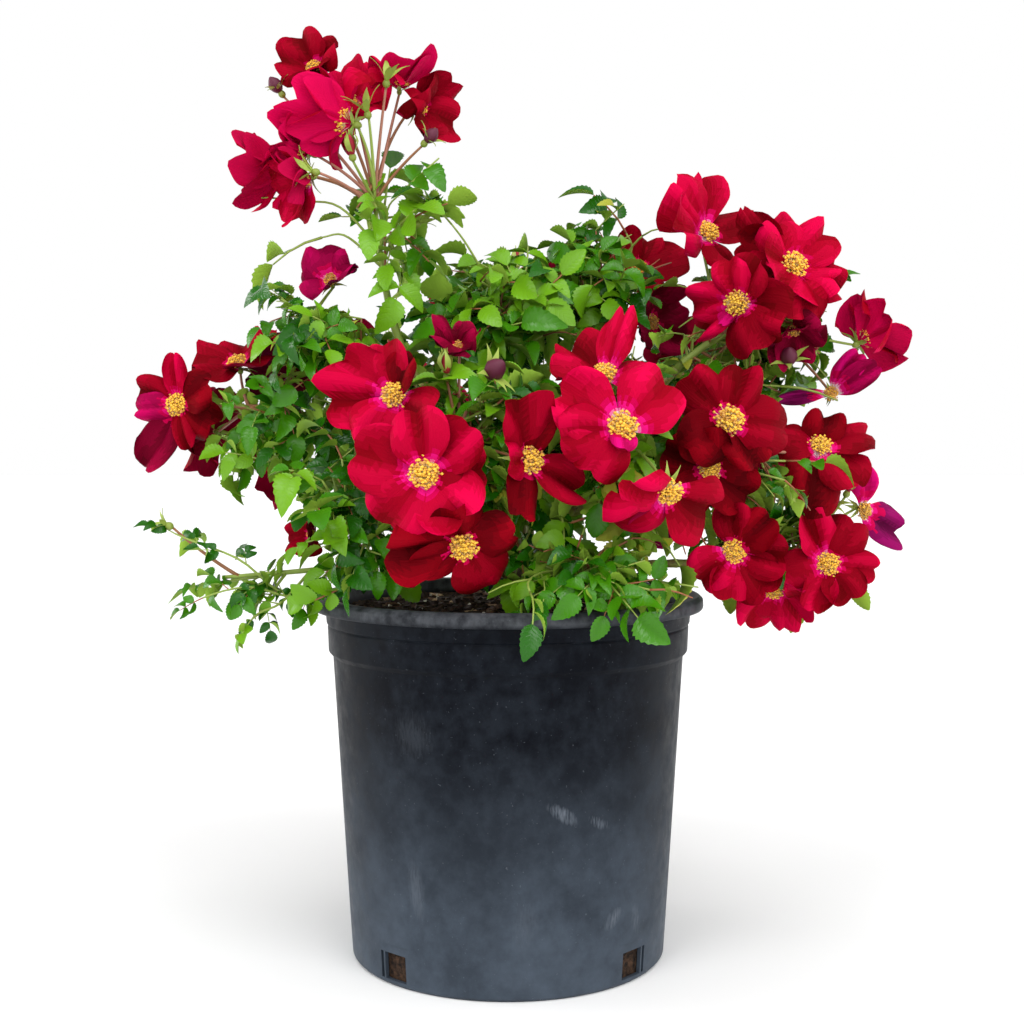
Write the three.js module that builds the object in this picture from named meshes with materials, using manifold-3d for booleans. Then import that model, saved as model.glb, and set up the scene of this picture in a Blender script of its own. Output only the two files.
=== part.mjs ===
// A single-flowered red rose bush in a black nursery pot, in millimetres, +Z up.
// The origin is the centre of the pot's flat underside. -Y is the bush's best side.
import * as THREE from "three";
import { mergeVertices } from "three/addons/utils/BufferGeometryUtils.js";
import Module from "manifold-3d";

const wasm = await Module();
wasm.setup();

// ---------- driving dimensions ----------
const GAP = 0.3; // clear space between two solids that meet
const CUT_GAP = 0.45; // grown this much at its corners, a faceted cutter leaves GAP at its flats
const POT = {
  baseRadius: 96.5,
  stepRadius: 107.7, // the body just under the band
  stepHeight: 185,
  bandRadius: 110.4,
  bandBottom: 188,
  bandTop: 204,
  collarRadius: 112.4,
  lipRadius: 120,
  lipBottom: 213,
  lipRound: 1.2,
  footRound: 2,
  height: 222,
  wall: 2.4,
  floor: 3.2,
  sides: 36,
};
const DRAIN = {
  turns: [-42, 48, 138, 228], // degrees round from the front
  width: 17,
  slotWidth: 2.4,
  web: 1.4, // the strip between the slot and the hole
  bottom: 3.6,
  height: 16,
  depth: 9,
};
const SOIL = { top: 217, edgeTop: 212, crownRadius: 44 };
const TRUNK = {
  foot: [12, 0, SOIL.top + GAP],
  fork: [9, 2, 245],
  flareRadius: 15.5,
  waistRadius: 9.2,
  forkRadius: 8,
  sides: 10,
  steps: 4,
};
const CANE = { sides: 5, steps: 4 };
// A mass's stem runs on from its cane, through the middle of its space and some way past it.
const STEM = { sides: 4, steps: 3, carriesOn: 0.5, reach: 1.25 };
// A twig ends at a share of its space's radius and starts at a share of the stem.
const TWIG = {
  base: 1.4,
  tip: 1.0,
  ends: [0.45, 0.85],
  starts: [0.12, 0.98],
  leavesAt: [1, 0.8, 0.6, 0.4, 0.2],
  least: 3, // fewer leaves than this and the twig is left out
  crowd: 11.5, // between the midribs of two leaves
  tries: 400,
};
const LEAF = { length: 41, width: 26, widest: 0.42, fold: 2.4, sunk: 0.8, turn: 54, sizes: [1, 0.74] };
// A flower stalk leaves the stem a little before the place nearest to its bloom.
const STALK = { base: 1.4, tip: 1.2, first: 0.3, before: 0.15, rise: 0.1, curl: 0.12 };
const BLOOM = { lobes: 5, notch: 0.66, under: 4, keel: 2.5, seat: 1.6 };
// Room kept clear: to a neighbour's space, in shares of its radius, to limbs, blooms and the pot.
const CLEAR = { space: 0.03, limb: 1.8, behind: 5, before: 24, round: 1.5, pot: 3, rim: 98 };
const GOLDEN_ANGLE = 2.39996;
const ROLL_SEED = 5;
const FUSE_TOLERANCE = 0.02;

// Canes: each leaves the trunk or another cane and ends where its mass of foliage starts.
// [name, carried by, at this share of its length, points from there to the tip, root and tip radius]
const CANES = [
  ["cane_tall", "trunk", 0.82, [[-10, -3, 270], [-40, -8, 322], [-62, -8, 366]], 3.6, 2.8],
  ["cane_right_upper", "trunk", 0.75, [[46, 4, 288], [84, 6, 338], [104, 6, 360]], 3.5, 2.7],
  ["cane_centre", "trunk", 0.86, [[8, 16, 282], [0, 18, 326], [-4, 14, 350]], 3.2, 2.4],
  ["cane_heart", "trunk", 0.82, [[13, -10, 258], [15, -14, 272]], 3.0, 2.4],
  ["cane_left", "trunk", 0.53, [[-24, 10, 256], [-68, 12, 290], [-108, 8, 316]], 3.2, 2.5],
  ["cane_back_left", "trunk", 0.6, [[-10, 38, 260], [-36, 66, 290]], 3.2, 2.5],
  ["cane_back_right", "trunk", 0.46, [[34, 36, 258], [54, 66, 286]], 3.2, 2.5],
  ["cane_left_low", "trunk", 0.39, [[-14, -18, 240], [-44, -36, 248], [-62, -45, 254]], 3.0, 2.3],
  ["cane_front_left", "trunk", 0.64, [[2, -26, 262], [-16, -52, 286]], 3.1, 2.5],
  ["cane_front_right", "trunk", 0.53, [[28, -26, 258], [44, -54, 288]], 3.2, 2.5],
  ["cane_right_lower", "trunk", 0.39, [[52, -10, 238], [94, -16, 241], [126, -18, 242]], 3.0, 2.3],
  ["cane_left_shoulder", "cane_tall", 0.48, [[-54, -20, 330], [-78, -22, 350]], 2.4, 1.9],
  ["cane_trailing", "cane_left_low", 0.65, [[-72, -28, 243], [-104, -34, 240]], 2.2, 1.7],
  ["cane_right_middle", "cane_front_right", 0.72, [[66, -42, 284], [92, -46, 294]], 2.4, 1.9],
  ["cane_right_shoulder", "cane_centre", 0.54, [[30, 28, 332], [50, 34, 362]], 2.4, 1.9],
  ["cane_rim", "cane_front_right", 0.38, [[30, -52, 249], [36, -74, 243]], 2.2, 1.7],
  ["cane_back_high", "cane_back_left", 0.6, [[-8, 72, 316], [-2, 76, 348]], 2.4, 1.9],
];

// Masses of foliage: each grows from one cane's tip and keeps to its own space, an ellipsoid.
// [name, cane, centre, half sizes, leaves wanted, leaf scale, seed]
const MASSES = [
  ["foliage_tall", "cane_tall", [-74, -6, 432], [56, 46, 74], 15, 0.9, 11],
  ["foliage_left_shoulder", "cane_left_shoulder", [-116, -22, 386], [54, 46, 48], 15, 0.85, 12],
  ["foliage_left", "cane_left", [-158, 8, 334], [70, 66, 58], 20, 0.85, 13],
  ["foliage_left_low", "cane_left_low", [-94, -62, 272], [56, 60, 64], 19, 0.85, 14],
  ["foliage_trailing", "cane_trailing", [-156, -40, 236], [64, 42, 48], 15, 0.62, 15],
  ["foliage_front_left", "cane_front_left", [-26, -78, 318], [64, 52, 68], 17, 0.9, 16],
  ["foliage_front_right", "cane_front_right", [64, -76, 322], [50, 54, 68], 15, 0.9, 17],
  ["foliage_rim", "cane_rim", [54, -92, 240], [70, 46, 46], 15, 0.75, 18],
  ["foliage_right_middle", "cane_right_middle", [136, -50, 310], [62, 54, 54], 15, 0.85, 19],
  ["foliage_right_lower", "cane_right_lower", [170, -12, 248], [66, 62, 48], 16, 0.85, 20],
  ["foliage_right_upper", "cane_right_upper", [152, 10, 386], [84, 64, 62], 20, 0.9, 21],
  ["foliage_right_shoulder", "cane_right_shoulder", [66, 32, 416], [54, 58, 58], 16, 0.9, 22],
  ["foliage_centre", "cane_centre", [-6, 4, 398], [64, 58, 56], 20, 0.95, 23],
  ["foliage_heart", "cane_heart", [18, -8, 318], [62, 46, 54], 12, 0.9, 24],
  ["foliage_back_left", "cane_back_left", [-84, 92, 328], [82, 68, 84], 25, 0.95, 25],
  ["foliage_back_right", "cane_back_right", [94, 96, 324], [84, 68, 84], 25, 0.95, 26],
  ["foliage_back_high", "cane_back_high", [-2, 90, 402], [68, 58, 54], 18, 0.95, 27],
];

// Blooms: [mass, centre, diameter, turn from the front, tilt above level, rise of the petals]
// The angles are in degrees; a positive turn faces the bush's right, +X.
const BLOOMS = [
  ["foliage_front_left", [-61, -95, 340], 66, -24, 8, 16],
  ["foliage_front_left", [-44, -124, 298], 76, 2, 4, 8],
  ["foliage_front_left", [10, -110, 305], 70, 34, 2, 6],
  ["foliage_front_left", [-24, -118, 261], 74, 8, -28, 4],
  ["foliage_front_left", [-28, -66, 362], 48, -8, 52, 48],
  ["foliage_front_right", [61, -115, 322], 74, 6, 14, 14],
  ["foliage_front_right", [54, -88, 350], 62, -6, 44, 22],
  ["foliage_front_right", [84, -116, 290], 60, 12, -38, 22],
  ["foliage_right_middle", [124, -76, 327], 74, 8, 6, 10],
  ["foliage_right_middle", [186, -26, 311], 62, 14, 40, 10],
  ["foliage_right_middle", [116, -70, 292], 56, -6, -14, 8],
  ["foliage_right_lower", [131, -60, 252], 62, -12, 2, 8],
  ["foliage_right_lower", [192, -24, 242], 64, 4, 2, 10],
  ["foliage_right_lower", [167, -14, 208], 50, -8, -36, 6],
  ["foliage_right_lower", [226, 18, 266], 50, 62, 8, 24],
  ["foliage_right_upper", [121, 8, 443], 62, 40, 28, 22],
  ["foliage_right_upper", [171, -12, 418], 72, 16, 26, 20],
  ["foliage_right_upper", [138, -34, 397], 66, -18, -4, 26],
  ["foliage_right_upper", [224, 18, 380], 54, 66, 30, 30],
  ["foliage_right_upper", [206, 2, 352], 40, 50, 24, 50],
  ["foliage_right_upper", [172, -16, 384], 40, 8, -50, 40],
  ["foliage_tall", [-121, 0, 545], 44, -30, 34, 44],
  ["foliage_tall", [-65, 12, 549], 44, 20, 62, 46],
  ["foliage_tall", [-98, -22, 508], 60, -10, 34, 40],
  ["foliage_tall", [-44, 18, 525], 42, 70, -6, 34],
  ["foliage_tall", [-94, 26, 530], 52, 150, 44, 30],
  ["foliage_tall", [-136, -16, 468], 58, -46, -34, 26],
  ["foliage_tall", [-130, -12, 502], 56, -34, 22, 34],
  ["foliage_left", [-202, -2, 338], 64, -16, 2, 8],
  ["foliage_left", [-168, 14, 362], 58, -20, 64, 18],
  ["foliage_left", [-140, 34, 358], 54, -140, 30, 12],
  ["foliage_left", [-190, 44, 322], 56, -118, 6, 12],
  ["foliage_left_shoulder", [-108, -2, 412], 46, -12, 40, 40],
  ["foliage_left_low", [-118, -40, 258], 40, -40, 6, 44],
  ["foliage_right_shoulder", [84, 62, 436], 58, 30, 34, 26],
  ["foliage_right_shoulder", [90, 44, 392], 50, 40, -6, 32],
  ["foliage_back_high", [-24, 128, 430], 66, -168, 34, 12],
  ["foliage_back_high", [38, 122, 412], 62, 160, 24, 14],
  ["foliage_back_left", [-62, 158, 336], 72, -166, 4, 10],
  ["foliage_back_left", [-118, 138, 372], 66, -148, 22, 14],
  ["foliage_back_left", [-152, 104, 300], 62, -122, -6, 12],
  ["foliage_back_left", [-96, 146, 280], 64, -160, -18, 8],
  ["foliage_back_right", [60, 160, 330], 72, 172, 4, 10],
  ["foliage_back_right", [126, 136, 366], 66, 146, 24, 14],
  ["foliage_back_right", [164, 96, 310], 62, 118, 2, 12],
  ["foliage_back_right", [112, 146, 272], 62, 158, -14, 8],
];

// ---------- small helpers ----------
const UP = new THREE.Vector3(0, 0, 1);
const vector = (p) => new THREE.Vector3(...p);
const radians = THREE.MathUtils.degToRad;

const tapering = (from, to) => (along) => from + (to - from) * along;
const between = ([low, high], share) => low + (high - low) * share;
const largest = (solids) => solids.reduce((best, s) => (s.volume() > best.volume() ? s : best));

// A number from 0 to 1 that depends only on where it is asked for.
function chance(seed, item, use) {
  const wave = Math.sin(seed * 12.9898 + item * 78.233 + use * 37.719) * 43758.5453;
  return wave - Math.floor(wave);
}

function solidOf(geometry) {
  const bare = geometry.clone();
  bare.deleteAttribute("normal");
  bare.deleteAttribute("uv");
  const merged = mergeVertices(bare, 1e-4);
  const triVerts = new Uint32Array(merged.index.array);
  const vertProperties = new Float32Array(merged.attributes.position.array);
  return new wasm.Manifold(new wasm.Mesh({ numProp: 3, vertProperties, triVerts }));
}

function geometryOf(solid) {
  const mesh = solid.getMesh();
  const made = new THREE.BufferGeometry();
  made.setAttribute("position", new THREE.BufferAttribute(mesh.vertProperties, 3));
  made.setIndex(new THREE.BufferAttribute(mesh.triVerts, 1));
  const flat = made.toNonIndexed();
  flat.computeVertexNormals();
  return flat;
}

// One limb: a cylinder bent along a curve, its radius given by a function of the way along.
function limb(curve, radiusAt, sides, steps) {
  const geometry = new THREE.CylinderGeometry(1, 1, 1, sides, steps);
  const frames = curve.computeFrenetFrames(steps, false);
  const at = geometry.attributes.position;
  for (let i = 0; i < at.count; i++) {
    const along = at.getY(i) + 0.5;
    const step = Math.round(along * steps);
    const radius = radiusAt(along);
    const place = curve
      .getPointAt(along)
      .addScaledVector(frames.normals[step], at.getX(i) * radius)
      .addScaledVector(frames.binormals[step], -at.getZ(i) * radius);
    at.setXYZ(i, place.x, place.y, place.z);
  }
  return geometry;
}

// A straight three-sided rod, for a twig.
function rod(line, base, tip) {
  const length = line.getLength();
  const turn = new THREE.Quaternion().setFromUnitVectors(new THREE.Vector3(0, 1, 0), line.getTangent());
  return new THREE.CylinderGeometry(tip, base, length, 3, 1)
    .translate(0, length / 2, 0)
    .applyQuaternion(turn)
    .translate(...line.v1.toArray());
}

// ---------- pot and soil ----------
function potProfile() {
  const p = POT;
  const inner = (radius) => radius - p.wall;
  return [
    [0, 0],
    [p.baseRadius - p.footRound, 0],
    [p.baseRadius, p.footRound],
    [p.stepRadius, p.stepHeight],
    [p.bandRadius, p.bandBottom],
    [p.bandRadius, p.bandTop],
    [p.collarRadius, p.lipBottom],
    [p.lipRadius, p.lipBottom + p.lipRound],
    [p.lipRadius, p.height - 2 * p.lipRound],
    [p.lipRadius - 2 * p.lipRound, p.height],
    [inner(p.collarRadius), p.height],
    [inner(p.bandRadius), p.bandBottom],
    [inner(p.stepRadius), p.stepHeight - p.wall],
    [inner(p.baseRadius), p.floor],
    [0, p.floor],
  ].map(([radius, height]) => new THREE.Vector2(radius, height));
}

// LatheGeometry turns about +Y, so the result is stood up on +Z.
const lathed = (profile, sides) => new THREE.LatheGeometry(profile, sides).rotateX(Math.PI / 2);

// The hole and the narrow slot beside it, cut through the wall at one place round the foot.
function drainCutters(turn) {
  const outward = POT.baseRadius;
  const box = (width, across) => {
    const cutter = new THREE.BoxGeometry(width, DRAIN.depth, DRAIN.height);
    cutter.translate(across, -outward, DRAIN.bottom + DRAIN.height / 2);
    return solidOf(cutter.rotateZ(radians(turn)));
  };
  const hand = Math.sign(Math.sin(radians(turn))); // the slots lie away from the front and the back
  const slotAcross = hand * (DRAIN.width / 2 + DRAIN.web + DRAIN.slotWidth / 2);
  return [box(DRAIN.width, 0), box(DRAIN.slotWidth, slotAcross)];
}

function pot() {
  const shell = solidOf(lathed(potProfile(), POT.sides));
  return geometryOf(shell.subtract(wasm.Manifold.union(DRAIN.turns.flatMap(drainCutters))));
}

function soil() {
  const inset = POT.wall + CUT_GAP;
  const profile = [
    [0, POT.floor + GAP],
    [POT.baseRadius - inset, POT.floor + GAP],
    [POT.stepRadius - inset, POT.stepHeight - POT.wall],
    [POT.bandRadius - inset, POT.bandBottom + GAP],
    [POT.bandRadius - inset, SOIL.edgeTop],
    [SOIL.crownRadius, SOIL.top],
    [0, SOIL.top],
  ].map(([radius, height]) => new THREE.Vector2(radius, height));
  return lathed(profile, POT.sides);
}

// ---------- trunk and canes ----------
const trunkCurve = new THREE.LineCurve3(vector(TRUNK.foot), vector(TRUNK.fork));

// Its rings stay level, so that its foot is a flat cut however much it leans.
function trunk(grownBy = 0) {
  const geometry = new THREE.CylinderGeometry(1, 1, 1, TRUNK.sides, TRUNK.steps).rotateX(Math.PI / 2);
  const at = geometry.attributes.position;
  for (let i = 0; i < at.count; i++) {
    const along = at.getZ(i) + 0.5;
    const flare = (1 - along) ** 3 * (TRUNK.flareRadius - TRUNK.waistRadius);
    const radius = tapering(TRUNK.waistRadius, TRUNK.forkRadius)(along) + flare + grownBy;
    const middle = trunkCurve.getPointAt(along);
    at.setXYZ(i, middle.x + at.getX(i) * radius, middle.y + at.getY(i) * radius, middle.z);
  }
  return geometry;
}

const canes = new Map();
for (const [name, carrier, share, points, root, tip] of CANES) {
  const start = (canes.get(carrier)?.curve ?? trunkCurve).getPointAt(share);
  const curve = new THREE.CatmullRomCurve3([start, ...points.map(vector)]);
  canes.set(name, { name, root, tip, curve });
}

const caneSolid = (cane, grownBy = 0) =>
  solidOf(limb(cane.curve, tapering(cane.root + grownBy, cane.tip + grownBy), CANE.sides, CANE.steps));

// A cane is cut clear of the trunk and of the canes before it, so its root fits what carries it.
function caneGeometry(cane) {
  const before = [...canes.values()].slice(0, [...canes.keys()].indexOf(cane.name));
  const cutters = [solidOf(trunk(CUT_GAP)), ...before.map((other) => caneSolid(other, CUT_GAP))];
  const pieces = caneSolid(cane).subtract(wasm.Manifold.union(cutters)).decompose();
  return geometryOf(largest(pieces));
}

// ---------- spaces, stems and blooms ----------
const masses = MASSES.map(([name, cane, centre, half, wanted, scale, seed]) => {
  const mass = { name, centre: vector(centre), half: vector(half), wanted, scale, seed };
  const { curve, tip } = canes.get(cane);
  const heading = curve.getTangentAt(1);
  const root = curve.getPointAt(1).addScaledVector(heading, GAP);
  const reach = mass.centre.clone().sub(root);
  const bend = root.clone().addScaledVector(heading, reach.length() * STEM.carriesOn);
  const end = root.clone().addScaledVector(reach, STEM.reach);
  mass.stem = new THREE.QuadraticBezierCurve3(root, bend, end);
  mass.stemRadius = tip;
  return mass;
});
const massNamed = (name) => masses.find((mass) => mass.name === name);

const blooms = BLOOMS.map(([mass, centre, diameter, turn, tilt, rise], index) => {
  const [around, above] = [radians(turn), radians(tilt)];
  const level = Math.cos(above);
  const facing = new THREE.Vector3(
    Math.sin(around) * level,
    -Math.cos(around) * level,
    Math.sin(above),
  );
  const bloom = { mass: massNamed(mass), centre: vector(centre), radius: diameter / 2 };
  return { ...bloom, facing, rise: radians(rise), roll: chance(ROLL_SEED, index, 1) * 2 * Math.PI };
});

for (const bloom of blooms) {
  const { stem } = bloom.mass;
  const end = bloom.centre.clone().addScaledVector(bloom.facing, -BLOOM.seat);
  const shares = Array.from({ length: 15 }, (_, i) => STALK.first + i * 0.05);
  const away = (share) => stem.getPointAt(share).distanceTo(end);
  const nearest = shares.reduce((best, share) => (away(share) < away(best) ? share : best));
  const from = Math.max(STALK.first, nearest - STALK.before);
  const start = stem.getPointAt(from);
  const length = start.distanceTo(end);
  const bend = start.clone().lerp(end, 0.5);
  bend.addScaledVector(stem.getTangentAt(from), length * STALK.rise);
  bend.addScaledVector(bloom.facing, -length * STALK.curl);
  bloom.stalk = new THREE.QuadraticBezierCurve3(start, bend, end);
}

// ---------- what a twig or leaf has to keep clear of ----------
const alongLimb = (owner, curve, radius) =>
  curve.getSpacedPoints(Math.ceil(curve.getLength() / 5)).map((place) => ({ owner, place, radius }));
const limbs = [
  ...alongLimb("trunk", trunkCurve, TRUNK.flareRadius),
  ...[...canes.values()].flatMap((cane) => alongLimb(cane.name, cane.curve, cane.root)),
  ...masses.flatMap((mass) => alongLimb(mass.name, mass.stem, mass.stemRadius)),
  ...blooms.flatMap((bloom) => alongLimb(bloom.mass.name, bloom.stalk, STALK.base)),
];

const depthIn = (mass, place) => place.clone().sub(mass.centre).divide(mass.half).length();

function inOwnSpace(mass, place) {
  const own = depthIn(mass, place);
  if (own > 1) return false;
  return masses.every((other) => other === mass || depthIn(other, place) > own + CLEAR.space);
}

const touchesLimb = (mass, place) =>
  limbs.some((l) => l.owner !== mass.name && l.place.distanceTo(place) < l.radius + CLEAR.limb);

// In front of a bloom's face, or among its petals.
const nearBloom = (place) =>
  blooms.some((bloom) => {
    const off = place.clone().sub(bloom.centre);
    const before = off.dot(bloom.facing);
    if (before < -CLEAR.behind || before > CLEAR.before) return false;
    return Math.sqrt(Math.max(0, off.lengthSq() - before * before)) < bloom.radius + CLEAR.round;
  });

function nearPot({ x, y, z }) {
  const out = Math.hypot(x, y);
  if (z > POT.height + CLEAR.pot || out > POT.lipRadius + CLEAR.pot) return false;
  return out > CLEAR.rim || z < SOIL.top + CLEAR.pot;
}

const isFree = (mass, place) =>
  inOwnSpace(mass, place) && !touchesLimb(mass, place) && !nearBloom(place) && !nearPot(place);

// ---------- twigs and leaves ----------
// A leaf is a flattened tetrahedron: its root and tip are the ends of the midrib, below, and
// its two widest points stand a little above them, as the blade folds along the midrib.
function leafGeometry({ root, heading, side, normal, length, width }) {
  const geometry = new THREE.TetrahedronGeometry(1);
  const at = geometry.attributes.position;
  for (let i = 0; i < at.count; i++) {
    const [x, y] = [Math.sign(at.getX(i)), Math.sign(at.getY(i))];
    const place = root.clone();
    if (at.getZ(i) > 0) {
      place.addScaledVector(heading, LEAF.widest * length);
      place.addScaledVector(side, (x * width) / 2).addScaledVector(normal, LEAF.fold);
    } else if (y > 0) place.addScaledVector(heading, length);
    at.setXYZ(i, place.x, place.y, place.z);
  }
  return geometry;
}

// A leaf's own axes: the way it points, its upper side and its right-hand side.
function axesOf(heading, face) {
  const side = new THREE.Vector3().crossVectors(heading, face).normalize();
  return { heading, side, normal: new THREE.Vector3().crossVectors(side, heading).normalize() };
}

// Places on a leaf, at shares of its length and half-widths off its middle line.
const spotsOn = (leaf, places) =>
  places.map(([along, across]) =>
    leaf.root
      .clone()
      .addScaledVector(leaf.heading, along * leaf.length)
      .addScaledVector(leaf.side, (across * leaf.width) / 2),
  );
const RIM_SPOTS = [[0.4, -0.9], [0.4, 0.9], [0.7, -0.5], [0.7, 0.5]];
const RIB_SPOTS = [[0.4, 0], [0.7, 0], [1, 0]];

// Each twig runs from the stem to a place spread evenly round the space.
function twigOf(mass, k) {
  const turn = k * GOLDEN_ANGLE + mass.seed;
  const height = 2 * chance(mass.seed, k, 6) - 1;
  const level = Math.sqrt(1 - height * height);
  const out = new THREE.Vector3(Math.cos(turn) * level, Math.sin(turn) * level, height);
  const share = between(TWIG.ends, chance(mass.seed, k, 1));
  const end = out.clone().multiply(mass.half).multiplyScalar(share).add(mass.centre);
  const start = mass.stem.getPointAt(between(TWIG.starts, chance(mass.seed, k, 2)));
  // Leaves face up, outwards and a little to the best side, each twig's own way.
  const lean = [chance(mass.seed, k, 3) - 0.5, chance(mass.seed, k, 4) - 0.6, 0.95];
  const face = vector(lean).addScaledVector(out, 0.55).normalize();
  return { line: new THREE.LineCurve3(start, end), face };
}

// A twig's leaves: one at its tip and the others on alternate sides.
function leavesOf({ line, face }, size) {
  const twigAxes = axesOf(line.getTangent(), face);
  return TWIG.leavesAt.map((along, i) => {
    const hand = i === 0 ? 0 : i % 2 ? 1 : -1;
    const ahead = twigAxes.heading.clone().applyAxisAngle(twigAxes.normal, hand * radians(LEAF.turn));
    const { heading, side, normal } = axesOf(ahead, face);
    const root = line.getPoint(along).addScaledVector(heading, hand ? 0 : -LEAF.sunk);
    return { root, heading, side, normal, length: LEAF.length * size, width: LEAF.width * size };
  });
}

// The solids of one mass's twigs and leaves, as many as find room.
function foliage(mass) {
  const solids = [];
  const ribs = [];
  const fits = (leaf) => {
    const rib = spotsOn(leaf, RIB_SPOTS);
    if (rib.some((p) => ribs.some((q) => q.distanceTo(p) < TWIG.crowd * mass.scale))) return false;
    return [...rib, ...spotsOn(leaf, RIM_SPOTS)].every((place) => isFree(mass, place));
  };
  for (let k = 0; k < TWIG.tries && ribs.length < mass.wanted * RIB_SPOTS.length; k++) {
    const twig = twigOf(mass, k);
    if (!twig.line.getSpacedPoints(8).every((place) => isFree(mass, place))) continue;
    const choices = LEAF.sizes.map((size) => leavesOf(twig, size * mass.scale));
    const leaves = TWIG.leavesAt.flatMap((_, i) => choices.map((c) => c[i]).filter(fits).slice(0, 1));
    if (leaves.length < TWIG.least) continue;
    ribs.push(...leaves.flatMap((leaf) => spotsOn(leaf, RIB_SPOTS)));
    solids.push(solidOf(rod(twig.line, TWIG.base, TWIG.tip)));
    solids.push(...leaves.map((leaf) => solidOf(leafGeometry(leaf))));
  }
  return solids;
}

// ---------- blooms ----------
// A bloom: a thin dish with five notches in its rim, on its stalk. The underside's lowest point,
// its keel, lies beside the stalk.
function bloomSolids(bloom) {
  const points = BLOOM.lobes * 3;
  const step = (2 * Math.PI) / points;
  const pose = new THREE.Matrix4().makeBasis(...basisOf(bloom)).setPosition(bloom.centre);
  const dish = new THREE.SphereGeometry(1, points, 2);
  const at = dish.attributes.position;
  for (let i = 0; i < at.count; i++) {
    const [x, y, z] = [at.getX(i), at.getY(i), at.getZ(i)];
    if (Math.abs(y) > 0.5) {
      at.setXYZ(i, y > 0 ? 0 : BLOOM.keel, y > 0 ? 0 : -BLOOM.under, 0);
      continue;
    }
    const spot = (Math.round(Math.atan2(x, z) / step) + points) % 3;
    const turn = Math.atan2(x, z) + [0, -step / 4, step / 4][spot];
    const reach = bloom.radius * (spot ? 1 : BLOOM.notch);
    const flat = reach * Math.cos(bloom.rise);
    at.setXYZ(i, flat * Math.sin(turn), reach * Math.sin(bloom.rise), flat * Math.cos(turn));
  }
  const stalk = limb(bloom.stalk, tapering(STALK.base, STALK.tip), 3, 2);
  return [solidOf(dish.applyMatrix4(pose)), solidOf(stalk)];
}

// The bloom's own axes, its +Y along the way it faces.
function basisOf(bloom) {
  const across = new THREE.Vector3().crossVectors(bloom.facing, UP).normalize();
  across.applyAxisAngle(bloom.facing, bloom.roll);
  const third = new THREE.Vector3().crossVectors(across, bloom.facing).normalize();
  return [across, bloom.facing, third];
}

function massGeometry(mass) {
  const stem = solidOf(limb(mass.stem, tapering(mass.stemRadius, TWIG.base), STEM.sides, STEM.steps));
  const own = blooms.filter((bloom) => bloom.mass === mass).flatMap(bloomSolids);
  const fused = wasm.Manifold.union([stem, ...own, ...foliage(mass)]);
  return geometryOf(largest(fused.simplify(FUSE_TOLERANCE).decompose()));
}

// ---------- the assembly ----------
const finish = (color, roughness) =>
  new THREE.MeshStandardMaterial({ color, roughness, metalness: 0, flatShading: true });
const materials = {
  pot: finish("#33363d", 0.55),
  soil: finish("#2a211b", 0.95),
  trunk: finish("#6b5a45", 0.9),
  cane: finish("#7d8f3c", 0.6),
  foliage: finish("#3d7a26", 0.5),
};

const roseBush = new THREE.Group();
function add(name, geometry, material) {
  const mesh = new THREE.Mesh(geometry, material);
  mesh.name = name;
  roseBush.add(mesh);
}

add("pot", pot(), materials.pot);
add("soil", soil(), materials.soil);
add("trunk", trunk(), materials.trunk);
for (const cane of canes.values()) add(cane.name, caneGeometry(cane), materials.cane);
for (const mass of masses) add(mass.name, massGeometry(mass), materials.foliage);

export default roseBush;
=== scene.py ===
# A single-flowered red shrub rose in a black nursery pot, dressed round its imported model.
import math

import bpy
import numpy as np
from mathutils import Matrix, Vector
from mathutils.bvhtree import BVHTree


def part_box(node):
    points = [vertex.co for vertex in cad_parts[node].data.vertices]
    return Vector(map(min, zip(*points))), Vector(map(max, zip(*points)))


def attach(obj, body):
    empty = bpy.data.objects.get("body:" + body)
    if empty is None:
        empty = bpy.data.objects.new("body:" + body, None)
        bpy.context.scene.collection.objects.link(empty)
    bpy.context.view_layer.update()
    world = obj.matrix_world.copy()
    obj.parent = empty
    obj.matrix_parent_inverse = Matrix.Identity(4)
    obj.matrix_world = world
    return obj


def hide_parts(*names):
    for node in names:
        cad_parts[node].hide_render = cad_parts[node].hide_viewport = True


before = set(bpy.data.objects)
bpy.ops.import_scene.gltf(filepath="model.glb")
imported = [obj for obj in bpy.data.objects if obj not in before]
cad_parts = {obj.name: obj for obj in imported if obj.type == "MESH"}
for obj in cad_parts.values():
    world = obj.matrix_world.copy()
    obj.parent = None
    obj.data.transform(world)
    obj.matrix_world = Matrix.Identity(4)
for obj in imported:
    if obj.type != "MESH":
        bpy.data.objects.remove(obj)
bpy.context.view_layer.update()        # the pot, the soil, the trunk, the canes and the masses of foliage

MM = 0.001

# ---------- sizes in millimetres ----------
pot_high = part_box("pot")[1]
LIP_RADIUS = pot_high[0] / MM
POT_HEIGHT = pot_high[2] / MM
POT = {
    "base_radius": 96.5,
    "step_radius": 107.7,
    "step_height": 185,
    "band_radius": 110.4,
    "band_bottom": 188,
    "band_top": 204,
    "collar_radius": 112.4,
    "lip_bottom": 213,
    "wall": 2.4,
    "floor": 3.2,
    "sides": 144,
}
# Four openings for drainage, turned about the pot in degrees, each with a narrow slot beside it,
# and the shallow recess that frames each one. The wall leans out past its foot behind a recess.
DRAIN = {
    "turns": [-42, 48, 138, 228], "width": 17, "slot": 2.4, "web": 1.4, "bottom": 3.6, "height": 16,
    "cutter": 12}
PANEL = {"width": 27, "height": 23.5, "depth": 0.7, "bottom": 1.2, "lean": 1.4, "cutter": 8}
SOIL = {"top": 217, "edge": 212}
CRUMBS = {"reach": 102, "highest": 219.5, "seed": 41}
TRUNK = {"foot": [12, 0, 214], "fork": [9, 2, 245], "flare": 15.5, "waist": 9.2, "tip": 8}

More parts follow.
